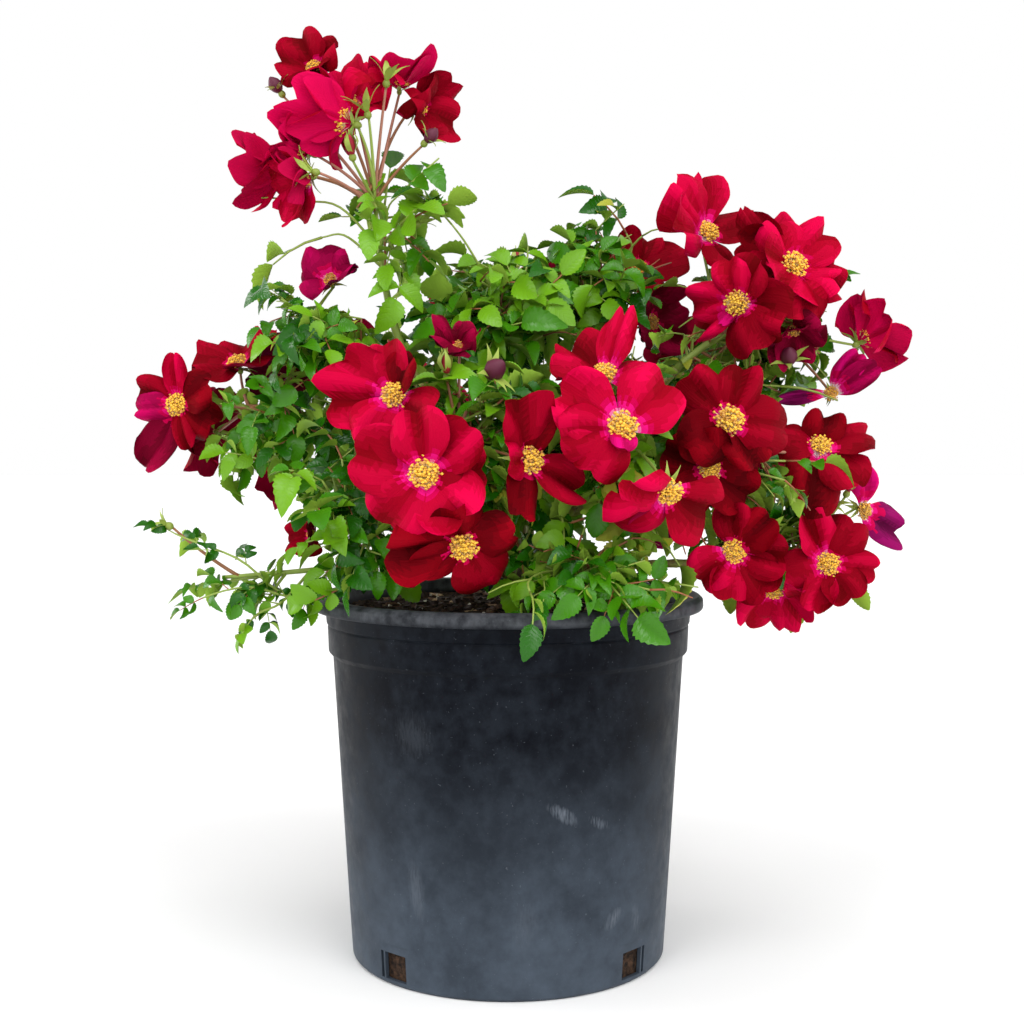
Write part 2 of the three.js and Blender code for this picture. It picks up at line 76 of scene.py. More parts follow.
# Canes: each leaves the trunk or another cane and ends where its mass of foliage starts.
# (name, carried by, at this share of its length, points from there to the tip, root and tip radius)
CANES = [
    ("cane_tall", "trunk", 0.82, [(-10, -3, 270), (-40, -8, 322), (-62, -8, 366)], 3.6, 2.8),
    ("cane_right_upper", "trunk", 0.75, [(46, 4, 288), (84, 6, 338), (104, 6, 360)], 3.5, 2.7),
    ("cane_centre", "trunk", 0.86, [(8, 16, 282), (0, 18, 326), (-4, 14, 350)], 3.2, 2.4),
    ("cane_heart", "trunk", 0.82, [(13, -10, 258), (15, -14, 272)], 3.0, 2.4),
    ("cane_left", "trunk", 0.53, [(-24, 10, 256), (-68, 12, 290), (-108, 8, 316)], 3.2, 2.5),
    ("cane_back_left", "trunk", 0.6, [(-10, 38, 260), (-36, 66, 290)], 3.2, 2.5),
    ("cane_back_right", "trunk", 0.46, [(34, 36, 258), (54, 66, 286)], 3.2, 2.5),
    ("cane_left_low", "trunk", 0.39, [(-14, -18, 240), (-44, -36, 248), (-62, -45, 254)], 3.0, 2.3),
    ("cane_front_left", "trunk", 0.64, [(2, -26, 262), (-16, -52, 286)], 3.1, 2.5),
    ("cane_front_right", "trunk", 0.53, [(28, -26, 258), (44, -54, 288)], 3.2, 2.5),
    ("cane_right_lower", "trunk", 0.39, [(52, -10, 238), (94, -16, 241), (126, -18, 242)], 3.0, 2.3),
    ("cane_left_shoulder", "cane_tall", 0.48, [(-54, -20, 330), (-78, -22, 350)], 2.4, 1.9),
    ("cane_trailing", "cane_left_low", 0.65, [(-72, -28, 243), (-104, -34, 240)], 2.2, 1.7),
    ("cane_right_middle", "cane_front_right", 0.72, [(66, -42, 284), (92, -46, 294)], 2.4, 1.9),
    ("cane_right_shoulder", "cane_centre", 0.54, [(30, 28, 332), (50, 34, 362)], 2.4, 1.9),
    ("cane_rim", "cane_front_right", 0.38, [(30, -52, 249), (36, -74, 243)], 2.2, 1.7),
    ("cane_back_high", "cane_back_left", 0.6, [(-8, 72, 316), (-2, 76, 348)], 2.4, 1.9),
]

# Masses of foliage, each in its own space, an ellipsoid.
# (name, cane, centre, half sizes, leaves wanted, leaf scale, seed)
MASSES = [
    ("foliage_tall", "cane_tall", (-74, -6, 432), (56, 46, 74), 15, 0.9, 11),
    ("foliage_left_shoulder", "cane_left_shoulder", (-116, -22, 386), (54, 46, 48), 15, 0.85, 12),
    ("foliage_left", "cane_left", (-158, 8, 334), (70, 66, 58), 20, 0.85, 13),
    ("foliage_left_low", "cane_left_low", (-94, -62, 272), (56, 60, 64), 19, 0.85, 14),
    ("foliage_trailing", "cane_trailing", (-156, -40, 236), (64, 42, 48), 15, 0.62, 15),
    ("foliage_front_left", "cane_front_left", (-26, -78, 318), (64, 52, 68), 17, 0.9, 16),
    ("foliage_front_right", "cane_front_right", (64, -76, 322), (50, 54, 68), 15, 0.9, 17),
    ("foliage_rim", "cane_rim", (54, -92, 240), (70, 46, 46), 15, 0.75, 18),
    ("foliage_right_middle", "cane_right_middle", (136, -50, 310), (62, 54, 54), 15, 0.85, 19),
    ("foliage_right_lower", "cane_right_lower", (170, -12, 248), (66, 62, 48), 16, 0.85, 20),
    ("foliage_right_upper", "cane_right_upper", (152, 10, 386), (84, 64, 62), 20, 0.9, 21),
    ("foliage_right_shoulder", "cane_right_shoulder", (66, 32, 416), (54, 58, 58), 16, 0.9, 22),
    ("foliage_centre", "cane_centre", (-6, 4, 398), (64, 58, 56), 20, 0.95, 23),
    ("foliage_heart", "cane_heart", (18, -8, 318), (62, 46, 54), 12, 0.9, 24),
    ("foliage_back_left", "cane_back_left", (-84, 92, 328), (82, 68, 84), 25, 0.95, 25),
    ("foliage_back_right", "cane_back_right", (94, 96, 324), (84, 68, 84), 25, 0.95, 26),
    ("foliage_back_high", "cane_back_high", (-2, 90, 402), (68, 58, 54), 18, 0.95, 27),
]

# Blooms: (mass, centre, diameter, turn from the front, tilt above level, rise of the petals, age)
# The angles are in degrees; a positive turn faces the bush's right, +X.
# Each age's tone was matched to how light or dark the bloom looks, so it is partly the bloom's own colour and
# partly painted light and shade.
BLOOMS = [
    ("foliage_front_left", (-61, -95, 340), 66, -24, 8, 16, "fresh"),
    ("foliage_front_left", (-44, -124, 298), 76, 2, 4, 8, "fresh"),
    ("foliage_front_left", (10, -110, 305), 70, 34, 2, 6, "deep"),
    ("foliage_front_left", (-24, -118, 261), 74, 8, -28, 4, "dark"),
    ("foliage_front_left", (-28, -70, 368), 36, -8, 40, 52, "dusk"),
    ("foliage_front_right", (61, -115, 322), 74, 6, 14, 14, "fresh"),
    ("foliage_front_right", (54, -88, 350), 62, -6, 44, 22, "fresh"),
    ("foliage_front_right", (86, -116, 290), 66, 14, -36, 26, "fresh"),
    ("foliage_right_middle", (124, -76, 327), 74, 8, 6, 10, "dark"),
    ("foliage_right_middle", (186, -26, 311), 62, 14, 40, 10, "deep"),
    ("foliage_right_middle", (116, -66, 300), 56, -6, -14, 8, "dark"),
    ("foliage_right_lower", (131, -60, 252), 62, -12, 2, 8, "dark"),
    ("foliage_right_lower", (192, -24, 242), 64, 4, 2, 10, "deep"),
    ("foliage_right_lower", (162, -16, 227), 52, -4, -50, 36, "bright"),
    ("foliage_right_lower", (221, 14, 273), 50, 35, -10, 10, "spent"),
    ("foliage_right_upper", (121, 8, 443), 64, 40, 28, 22, "bright"),
    ("foliage_right_upper", (171, -12, 420), 76, 16, 22, 16, "bright"),
    ("foliage_right_upper", (138, -34, 397), 70, -44, -4, 24, "fresh"),
    ("foliage_right_upper", (218, 10, 377), 60, 112, 34, 44, "deep"),
    ("foliage_right_upper", (199, 0, 345), 40, -10, 0, 20, "spent"),
    ("foliage_right_upper", (172, -16, 384), 40, 8, -50, 40, "dusk"),
    ("foliage_tall", (-117, 0, 542), 46, -30, 22, 40, "deep"),
    ("foliage_tall", (-67, 10, 533), 48, 20, 78, 44, "bright"),
    ("foliage_tall", (-94, -16, 506), 74, -100, 16, 38, "bright"),
    ("foliage_tall", (-57, 12, 521), 52, 64, -6, 42, "deep"),
    ("foliage_tall", (-96, 14, 522), 54, -14, 40, 36, "bright"),
    ("foliage_tall", (-137, -6, 479), 56, -92, 6, 34, "fresh"),
    ("foliage_tall", (-120, -10, 490), 66, -90, 24, 36, "bright"),
    ("foliage_tall", (-118, -24, 472), 52, -68, -20, 34, "fresh"),
    ("foliage_left", (-202, -2, 338), 64, -16, 2, 8, "deep"),
    ("foliage_left", (-168, 14, 362), 58, -20, 64, 18, "deep"),
    ("foliage_left", (-140, 34, 358), 54, -140, 30, 12, "dusk"),
    ("foliage_left", (-190, 44, 322), 56, -118, 6, 12, "deep"),
    ("foliage_left_shoulder", (-108, -2, 412), 46, -12, 40, 40, "spent"),
    ("foliage_left_low", (-116, -30, 260), 32, -40, 6, 44, "deep"),
    ("foliage_right_shoulder", (84, 56, 426), 56, 24, 26, 26, "deep"),
    ("foliage_right_shoulder", (90, 44, 392), 50, 40, -6, 32, "dusk"),
    ("foliage_back_high", (-24, 130, 404), 66, -168, 34, 12, "fresh"),
    ("foliage_back_high", (38, 122, 412), 62, 160, 24, 14, "deep"),
    ("foliage_back_left", (-62, 150, 336), 72, -166, 4, 10, "fresh"),
    ("foliage_back_left", (-118, 138, 372), 66, -148, 22, 14, "deep"),
    ("foliage_back_left", (-152, 104, 300), 62, -122, -6, 12, "fresh"),
    ("foliage_back_left", (-96, 146, 280), 64, -160, -18, 8, "deep"),
    ("foliage_back_right", (60, 150, 330), 72, 172, 4, 10, "fresh"),
    ("foliage_back_right", (126, 136, 366), 66, 146, 24, 14, "deep"),
    ("foliage_back_right", (164, 96, 310), 62, 118, 2, 12, "fresh"),
    ("foliage_back_right", (112, 146, 272), 62, 158, -14, 8, "spent"),
]
# Petals of the blooms that face the front, by their row above. The others get five even ones.
# (clock angle from the top, length, breadth, rise above the bloom's face, tone)
# A petal's tone is matched the same way: partly its own colour, partly painted light and shade, so some
# petals turned down into shade carry a lighter tone.
PETALS = {
    0: [(345, 33, 32, 18, "fresh"), (305, 37, 36, 14, "fresh"), (262, 40, 42, 10, "fresh"),
        (203, 35, 38, 12, "bright"), (128, 34, 36, 20, "deep"), (35, 28, 24, 24, "dark")],
    1: [(350, 39, 34, 14, "fresh"), (42, 37, 34, 12, "fresh"), (88, 35, 34, 8, "deep"),
        (138, 36, 42, 16, "bright"), (213, 36, 44, 12, "fresh"), (283, 41, 42, 8, "fresh")],
    2: [(336, 40, 28, 22, "deep"), (16, 33, 20, 34, "dark"), (264, 26, 26, 30, "fresh"),
        (202, 35, 30, 14, "dark"), (120, 39, 28, 8, "deep")],
    3: [(150, 37, 34, 8, "deep"), (243, 33, 26, 14, "dark"), (272, 45, 30, 6, "dark"),
        (72, 32, 32, 10, "dark"), (340, 30, 34, 6, "dark")],
    5: [(52, 42, 44, 16, "bright"), (296, 41, 40, 14, "bright"), (257, 38, 34, 22, "fresh"),
        (214, 33, 32, 12, "fresh"), (183, 17, 17, 30, "magenta")],
    6: [(22, 42, 22, 30, "bright"), (318, 35, 34, 14, "deep"), (250, 30, 30, 14, "fresh"),
        (90, 30, 28, 20, "fresh")],
    7: [(286, 36, 32, 30, "bright"), (228, 41, 38, 6, "fresh"), (203, 34, 18, -8, "dusk"),
        (122, 35, 38, 14, "deep")],
    8: [(16, 34, 28, 20, "deep"), (97, 39, 36, 12, "deep"), (150, 32, 32, 12, "dark"),
        (232, 31, 36, 8, "dark"), (315, 36, 32, 12, "deep")],
    9: [(78, 39, 34, 10, "deep"), (150, 35, 34, -8, "deep"), (207, 37, 38, -6, "dark"),
        (280, 29, 28, 10, "deep"), (20, 24, 28, 34, "dark")],
    11: [(5, 31, 28, 12, "deep"), (45, 33, 26, 18, "dark"), (95, 31, 32, 8, "deep"),
         (140, 33, 34, 10, "deep"), (182, 29, 30, 8, "fresh"), (226, 30, 32, 12, "fresh")],
    12: [(333, 36, 28, 16, "fresh"), (30, 33, 32, 14, "deep"), (101, 32, 24, 12, "fresh"),
         (150, 28, 28, 10, "deep"), (198, 32, 24, 10, "fresh"), (246, 34, 34, 10, "fresh")],
    13: [(180, 29, 36, 38, "fresh"), (122, 29, 34, 36, "fresh"), (238, 29, 34, 34, "bright"),
         (60, 24, 28, 24, "fresh"), (300, 24, 28, 24, "deep")],
    14: [(352, 30, 18, 18, "magenta"), (122, 34, 31, 6, "violet")],
    15: [(8, 44, 20, 22, "fresh"), (316, 43, 32, 20, "bright"), (258, 43, 36, 16, "bright"),
         (85, 37, 30, 16, "deep"), (165, 31, 30, 10, "deep")],
    16: [(325, 47, 19, 4, "deep"), (2, 41, 26, 6, "fresh"), (240, 38, 36, 4, "deep"),
         (287, 40, 34, 2, "dark"), (175, 40, 34, 2, "deep"), (110, 36, 32, 4, "deep"),
         (345, 33, 34, 26, "bright"), (45, 35, 36, 24, "bright"), (95, 31, 30, 26, "bright"),
         (150, 33, 36, 22, "bright"), (215, 29, 34, 24, "fresh"), (275, 27, 30, 28, "fresh")],
    17: [(350, 31, 26, 26, "bright"), (276, 36, 28, 18, "bright"), (240, 37, 24, 12, "bright"),
         (206, 16, 9, 24, "magenta"), (100, 36, 40, 6, "deep"), (155, 34, 38, 8, "deep"),
         (30, 30, 32, 10, "deep")],
    18: [(10, 33, 36, 40, "bright"), (80, 34, 36, 46, "bright"), (150, 34, 36, 44, "bright"),
         (222, 33, 36, 38, "fresh"), (295, 33, 34, 42, "bright")],
    19: [(30, 31, 18, 18, "magenta"), (62, 36, 18, 24, "spent"), (266, 34, 10, 12, "violet")],
    23: [(90, 40, 42, 52, "bright"), (38, 38, 36, 44, "bright"), (142, 38, 34, 48, "bright"),
         (335, 34, 38, 26, "bright"), (212, 34, 36, 20, "fresh"), (270, 34, 34, 20, "fresh")],
    27: [(100, 35, 36, 40, "bright"), (45, 34, 34, 42, "bright"), (345, 36, 38, 22, "bright"),
         (158, 33, 36, 34, "bright"), (215, 31, 34, 22, "fresh"), (285, 32, 32, 22, "fresh")],
    29: [(3, 34, 13, 24, "bright"), (297, 29, 27, 14, "deep"), (262, 28, 20, 26, "spent"),
         (207, 45, 24, 2, "dusk"), (165, 30, 16, 10, "deep"), (60, 29, 30, 10, "dark"),
         (120, 27, 28, 8, "dark")],
}

# Buds and hips: (mass, place, turn from the front, tilt above level, length, kind)
BUDS = [
    ("foliage_tall", (-138, -4, 527), -60, 50, 12, "opening"),
    ("foliage_tall", (-92, -30, 484), -10, 60, 14, "green"),
    ("foliage_tall", (-84, -20, 511), -30, 62, 17, "hip"),
    ("foliage_tall", (-73, -14, 531), 20, 66, 16, "hip"),
    ("foliage_tall", (-50, -10, 496), 60, 40, 12, "opening"),
    ("foliage_tall", (-114, -34, 474), -80, 14, 16, "hip"),
    ("foliage_tall", (-54, -18, 446), 70, 30, 11, "hip"),
    ("foliage_front_left", (-11, -92, 351), 40, 30, 17, "opening"),
    ("foliage_front_left", (-34, -84, 352), -10, 70, 14, "green"),
    ("foliage_right_upper", (169, -18, 362), -6, 40, 15, "opening"),
    ("foliage_right_upper", (186, -10, 370), 30, 60, 13, "green"),
    ("foliage_right_lower", (192, -24, 276), 20, 50, 15, "opening"),
    ("foliage_right_lower", (208, -6, 284), 40, 60, 13, "green"),
    ("foliage_right_middle", (158, -62, 290), 30, -40, 12, "hip"),
    ("foliage_trailing", (-200, -44, 266), -70, 30, 10, "hip"),
    ("foliage_back_left", (-84, 150, 384), -160, 50, 14, "green"),
    ("foliage_back_left", (-132, 128, 330), -130, 30, 15, "opening"),
    ("foliage_back_right", (92, 156, 362), 165, 50, 14, "green"),
    ("foliage_back_right", (148, 120, 336), 130, 30, 15, "opening"),
    ("foliage_back_high", (6, 134, 440), 176, 60, 14, "green"),
]

# Long thin shoots and single large leaves that stand out of their mass.
# (mass, leaves its stem at this share, points on the way, leaves, leaf size)
SHOOTS = [
    ("foliage_trailing", 0.1,
     [(-130, -42, 225), (-158, -46, 246), (-186, -46, 257), (-196, -44, 261)], 6, 1.05),
    ("foliage_trailing", 0.0,
     [(-124, -44, 224), (-150, -50, 230), (-166, -52, 228), (-178, -54, 224)], 5, 1.0),
    ("foliage_trailing", 0.2, [(-134, -52, 220), (-144, -56, 216), (-148, -58, 213)], 3, 1.05),
    ("foliage_rim", 0.1, [(18, -96, 242), (11, -112, 238), (12, -119, 234)], 4, 1.15),
    ("foliage_rim", 0.5, [(50, -104, 241), (56, -114, 237)], 3, 1.15),
    ("foliage_rim", 0.9, [(70, -86, 241), (80, -90, 237)], 2, 1.35),
    ("foliage_tall", 0.58, [(-72, -10, 458), (-66, -12, 464)], 1, 1.35),
    ("foliage_tall", 0.5, [(-68, -14, 442), (-60, -18, 448)], 1, 1.2),
    ("foliage_tall", 0.5, [(-100, -14, 440), (-112, -16, 438)], 1, 1.2),
    ("foliage_tall", 0.6, [(-104, -12, 458), (-130, -10, 460)], 1, 1.3),
    ("foliage_right_shoulder", 0.9, [(78, 26, 438), (84, 20, 444)], 1, 1.1),
    ("foliage_right_shoulder", 0.8, [(78, 26, 438), (74, 22, 446)], 1, 1.35),
    ("foliage_right_upper", 0.7, [(150, -6, 352), (166, -9, 349)], 1, 1.5),
    ("foliage_heart", 0.2, [(24, -28, 292), (20, -46, 276), (12, -62, 262)], 4, 1.15),
    ("foliage_heart", 0.3, [(22, -30, 300), (28, -52, 286), (30, -62, 276)], 3, 1.2),
    ("foliage_front_right", 0.05, [(48, -66, 276), (42, -76, 262)], 3, 1.2),
    ("foliage_front_right", 0.05, [(64, -60, 278), (78, -66, 268)], 3, 1.2),
    ("foliage_front_left", 0.1, [(-4, -66, 276), (4, -78, 262)], 3, 1.1),
    ("foliage_right_middle", 0.05, [(98, -50, 280), (108, -56, 266)], 3, 1.1),
    ("foliage_centre", 0.9, [(-26, -10, 436), (-34, -16, 446)], 1, 1.2),
]
# The radii of a shoot at its two ends, and the share of it where its lowest leaf sits.
SHOOT = {"base": 1.0, "tip": 0.55, "from": 0.25}

# How the bush grows: by the rule of its solids, carried on here to finer twigs and smaller leaves.
STEM_CARRIES_ON = 0.5  # the share of the way where a stem bends off its cane's own heading
STEM_REACH = 1.25  # how far a stem goes, as a share of the way to the middle of its mass
SPRAY_REACH = {"foliage_tall": 1.7}  # here the stem runs on past the leaves to the flowers' fork
TWIG = {"base": 1.1, "tip": 0.6, "ends": (0.4, 0.94), "starts": (0.12, 0.98), "tries": 2200}
LEAVES_AT = (1, 0.84, 0.68, 0.52, 0.36, 0.2)  # shares of a twig's length
LEAF_TURN = 54  # degrees from the twig's heading
FINER = 4.8  # leaves here for each one in the solids
CROWD = 11.5  # how near two leaves of full size may sit
LARGE = {"foliage_tall": 1.25, "foliage_centre": 1.05}  # masses with larger leaves
# The masses that are thinner than in the solids, and the share of their leaves that they keep.
SPARSE = {
    "foliage_trailing": 0.1, "foliage_rim": 0.5, "foliage_tall": 0.2, "foliage_left": 0.48,
    "foliage_left_low": 0.5, "foliage_left_shoulder": 0.65, "foliage_centre": 0.62,
    "foliage_right_shoulder": 0.85}
# The masses with more young leaves, and how many more.
YOUNG = {"foliage_tall": 0.34, "foliage_centre": 0.16, "foliage_right_shoulder": 0.2}
GREENS_UP_TO = (0.42, 0.78, 0.96)  # shares of the sprays in deep, mid and bright green; the rest are young
# A flower's stalk: its radii, where it may leave the stem, how it bends, and its flower's seat.
STALK = {"base": 1.25, "tip": 0.8, "first": 0.3, "before": 0.15, "rise": 0.1, "curl": 0.12, "seat": 3.4}
# The room that leaves and twigs keep from other masses, limbs, blooms and the pot.
CLEAR = {
    "space": 0.03, "limb": 1.8, "behind": 6, "before": 34, "view": 70, "round": 2.5, "pot": 3, "rim": 98}
GOLDEN_ANGLE = 2.39996  # radians from each twig or stamen to the next
ROLL_SEED = 5  # turns each bloom of even petals about its own axis
NODE = {"every": 21, "at": 10, "length": 2.2, "swell": 0.1}  # where leaves once sat on a cane
MOST_TRIANGLES = 180000  # in one piece; larger ones are split

# A compound leaf: leaflets in pairs along a leafstalk, with one at its end.
RACHIS = {"length": 27, "base": 0.75, "tip": 0.4}
LEAFLET = {"length": 18.5, "width": 12.2, "teeth": 8, "thick": 0.4, "end_scale": 1.15}
# (share of the leafstalk's length, turn from it in degrees, scale)
PAIRS = [(0.74, 66, 0.96), (0.36, 58, 0.82)]

# A petal's rows, as shares of its length: close together at the eye, where its colour changes fast.
PETAL_ROWS = [0, 0.07, 0.13, 0.17, 0.21, 0.25, 0.3, 0.38, 0.48, 0.59, 0.7, 0.8, 0.88, 0.95, 1]
# The breadth and the fold, from ridge to hollow, are shares of the length; across the fold the
# painted shade runs from its lit step to its darkest. A cupped petal is broader.
PETAL = {
    "count": 5, "columns": 16, "thick": 0.4, "breadth": (0.95, 1.15), "cupped": 0.3, "pinwheel": 8,
    "fold": 0.2}
# How crumpled a petal is: usually, and in the tones that wilt.
CRUMPLED = 1.05
WILD = {"spent": 1.3, "dusk": 1.25, "violet": 1.3, "magenta": 1.15}
STAMENS = 130  # in each bloom

# The colours of a petal: its eye from the claw outwards, how many rows of the petal each of the
# eye's colours reaches, and its tones as (ridges, hollows, back): painted light on the ridges and
# painted shade in the hollows, with steps between them.
EYE = ["#f6dbe6", "#f07ab4", "#e0147a", "#c4024a"]
EYE_ROWS = {
    "bright": (2, 3, 5, 6), "fresh": (2, 3, 5, 6), "deep": (1, 2, 4, 5), "dark": (1, 2, 3, 5),
    "spent": (3, 4, 6, 7), "dusk": (1, 2, 3, 5), "magenta": (3, 4, 6, 8), "violet": (2, 3, 5, 7)}
PAINTED_SHADE_STEPS = 5  # shades of a tone, from its ridges to its hollows
TONES = {
    "bright": ("#d60242", "#920018", "#d4064e"),
    "fresh": ("#c40138", "#7e0010", "#b80640"),
    "deep": ("#a40124", "#640008", "#980630"),
    "dark": ("#860012", "#480004", "#66031a"),
    "spent": ("#be0456", "#7a0330", "#960452"),
    "dusk": ("#980336", "#560216", "#720630"),
    "magenta": ("#dc0a74", "#a00444", "#c80a72"),
    "violet": ("#900c5c", "#580636", "#6e0a58"),
}

# Pale rubbed marks on the pot's wall: (place, half length, half height, slope in degrees, strength)
SCUFFS = [
    ((33, -105, 107), 21, 7.5, -32, 0.9),
    ((56, -96, 100), 19, 7, -24, 0.9),
    ((64, -84, 42), 14, 8, 40, 0.6),
    ((80, -70, 38), 8, 18, 14, 0.5),
    ((-53, -88, 60), 8, 26, 6, 0.22),
    ((10, -102, 44), 12, 22, -6, 0.1),
    ((-54, -92, 150), 20, 20, 12, 0.09),
    ((-90, 50, 90), 9, 5, 30, 0.5),
    ((60, 88, 120), 12, 3, -20, 0.6),
]

# The camera's tilt is in degrees from straight down, its lens in millimetres.
CAMERA = {"place": (2.4, -920, 312), "tilt": 87.5, "lens": 52.4}

# A colour mix keeps its colours in these sockets.
MIX_A, MIX_B, MIX_RESULT = 6, 7, 2


# ---------- colours and finishes ----------
def linear(hex_colour):
    """An sRGB hex colour as linear RGBA."""
    channels = [int(hex_colour[i:i + 2], 16) / 255 for i in (1, 3, 5)]
    return (*(c / 12.92 if c <= 0.04045 else ((c + 0.055) / 1.055) ** 2.4 for c in channels), 1.0)


def add_node(material, kind, inputs, **settings):
    """Adds a node; its inputs are values, or outputs of nodes that are there already."""
    node = material.node_tree.nodes.new(kind)
    for name, value in settings.items():
        setattr(node, name, value)
    for name, value in inputs.items():
        if isinstance(value, bpy.types.NodeSocket):
            material.node_tree.links.new(value, node.inputs[name])
        else:
            node.inputs[name].default_value = value
    return node


def finish(name, colour, roughness, **extra):
    """A material with one colour and roughness, and its shader."""
    material = bpy.data.materials.new(name)
    material.use_nodes = True
    shader = material.node_tree.nodes["Principled BSDF"]
    shader.inputs["Base Color"].default_value = linear(colour)
    shader.inputs["Roughness"].default_value = roughness
    for socket, value in extra.items():
        shader.inputs[socket.replace("_", " ")].default_value = value
    material.diffuse_color = linear(colour)
    return material, shader


def moulded_polypropylene():
    """Black nursery pot plastic, injection moulded: a dull sheen, greyed by dust and dried water,
    with a painted reflection of the white floor lightening its foot and a painted highlight on its lip.
    """
    material, shader = finish("moulded_polypropylene", "#14171d", 0.45, IOR=1.49, Specular_IOR_Level=0.08)
    place = add_node(material, "ShaderNodeTexCoord", {}).outputs["Object"]
    # Dust and water marks on the wall, about 9 mm wide and a little taller.
    upright = add_node(material, "ShaderNodeMapping", {"Vector": place, "Scale": (1, 1, 0.85)})
    streaks = add_node(material, "ShaderNodeTexNoise", {
        "Vector": upright.outputs["Vector"], "Scale": 1 / (9 * MM), "Detail": 7, "Roughness": 0.62})
    clouds = add_node(material, "ShaderNodeTexNoise", {
        "Vector": place, "Scale": 1 / (40 * MM), "Detail": 12, "Roughness": 0.66})
    specks = add_node(material, "ShaderNodeTexNoise", {
        "Vector": place, "Scale": 1 / (1.6 * MM), "Detail": 2})
    # The wall is painted lighter towards the foot: partly dust, partly a painted reflection of the white
    # floor.
    height = add_node(material, "ShaderNodeSeparateXYZ", {"Vector": place}).outputs["Z"]
    low = add_node(material, "ShaderNodeMapRange", {
        "Value": height, "From Min": 150 * MM, "From Max": 6 * MM, "To Min": 0.0, "To Max": 0.66})
    patchy = add_node(material, "ShaderNodeMapRange", {
        "Value": clouds.outputs["Fac"], "From Min": 0.36, "From Max": 0.64, "To Min": 0.72, "To Max": 1.2})
    foot_dust_and_floor_sheen = add_node(material, "ShaderNodeMath", {
        0: low.outputs["Result"], 1: patchy.outputs["Result"]}, operation="MULTIPLY")
    dusty = add_node(material, "ShaderNodeMath", {
        0: streaks.outputs["Fac"], 1: clouds.outputs["Fac"]}, operation="MULTIPLY")
    amount = add_node(material, "ShaderNodeMapRange", {
        "Value": dusty.outputs["Value"], "From Min": 0.18, "From Max": 0.38, "To Min": 0.0, "To Max": 0.11})
    total = add_node(material, "ShaderNodeMath", {
        0: amount.outputs["Result"], 1: foot_dust_and_floor_sheen.outputs["Value"]}, operation="ADD")
    dust_and_floor_sheen = add_node(material, "ShaderNodeMix", {
        "Factor": total.outputs["Value"], MIX_A: linear("#02050d"), MIX_B: linear("#4d5763"),
    }, data_type="RGBA")
    grit = add_node(material, "ShaderNodeMapRange", {
        "Value": specks.outputs["Fac"], "From Min": 0.7, "From Max": 0.78, "To Min": 0.0, "To Max": 0.3})
    speckled = add_node(material, "ShaderNodeMix", {
        "Factor": grit.outputs["Result"], MIX_A: dust_and_floor_sheen.outputs[MIX_RESULT], MIX_B: linear("#6f757d"),
    }, data_type="RGBA")
    # The rolled lip is paler than the wall: partly worn by handling, partly a painted highlight.
    on_lip = add_node(material, "ShaderNodeMapRange", {
        "Value": height, "From Min": 212.5 * MM, "From Max": 216 * MM, "To Min": 0.0, "To Max": 1.0})
    lip_patches = add_node(material, "ShaderNodeMapRange", {
        "Value": streaks.outputs["Fac"], "From Min": 0.35, "From Max": 0.7, "To Min": 0.15, "To Max": 0.7})
    lip_wear_and_highlight = add_node(material, "ShaderNodeMath", {
        0: on_lip.outputs["Result"], 1: lip_patches.outputs["Result"]}, operation="MULTIPLY")
    lipped = add_node(material, "ShaderNodeMix", {
        "Factor": lip_wear_and_highlight.outputs["Value"], MIX_A: speckled.outputs[MIX_RESULT], MIX_B: linear("#63666b"),
    }, data_type="RGBA")
    colour = lipped.outputs[MIX_RESULT]
    for scuff in SCUFFS:
        colour = scuffed(material, place, colour, *scuff)
    material.node_tree.links.new(colour, shader.inputs["Base Color"])
    rough = add_node(material, "ShaderNodeMapRange", {
        "Value": streaks.outputs["Fac"], "From Min": 0.3, "From Max": 0.7, "To Min": 0.36, "To Max": 0.58})
    material.node_tree.links.new(rough.outputs["Result"], shader.inputs["Roughness"])
    bump = add_node(material, "ShaderNodeBump", {
        "Height": streaks.outputs["Fac"], "Strength": 0.25, "Distance": 0.4 * MM})
    material.node_tree.links.new(bump.outputs["Normal"], shader.inputs["Normal"])
    return material


def scuffed(material, place, colour, centre, half_length, half_height, slope, strength):
    """Fades the colour to a rubbed grey inside one soft streaky patch."""
    around = math.atan2(centre[0], -centre[1])
    patch = add_node(material, "ShaderNodeMapping", {
        "Vector": place, "Location": [c * MM for c in centre],
        "Rotation": (0, math.radians(-slope), around),
        "Scale": (half_length * MM, 14 * MM, half_height * MM)}, vector_type="TEXTURE")
    ball = add_node(material, "ShaderNodeTexGradient", {"Vector": patch.outputs["Vector"]},
                    gradient_type="SPHERICAL")
    # Parallel scratches about 1 mm apart break the patch up.
    lines = add_node(material, "ShaderNodeMapping", {
        "Vector": place, "Scale": (1, 1, 0.2), "Rotation": (0, 0.5, 0)})
    scratches = add_node(material, "ShaderNodeTexNoise", {
        "Vector": lines.outputs["Vector"], "Scale": 1 / (1.1 * MM), "Detail": 3})
    broken = add_node(material, "ShaderNodeMath", {
        0: ball.outputs["Fac"], 1: scratches.outputs["Fac"]}, operation="MULTIPLY")
    shown = add_node(material, "ShaderNodeMapRange", {
        "Value": broken.outputs["Value"], "From Min": 0.12, "From Max": 0.4,
        "To Min": 0.0, "To Max": strength})
    rubbed = add_node(material, "ShaderNodeMix", {
        "Factor": shown.outputs["Result"], MIX_A: colour, MIX_B: linear("#6d747e")}, data_type="RGBA")
    return rubbed.outputs[MIX_RESULT]


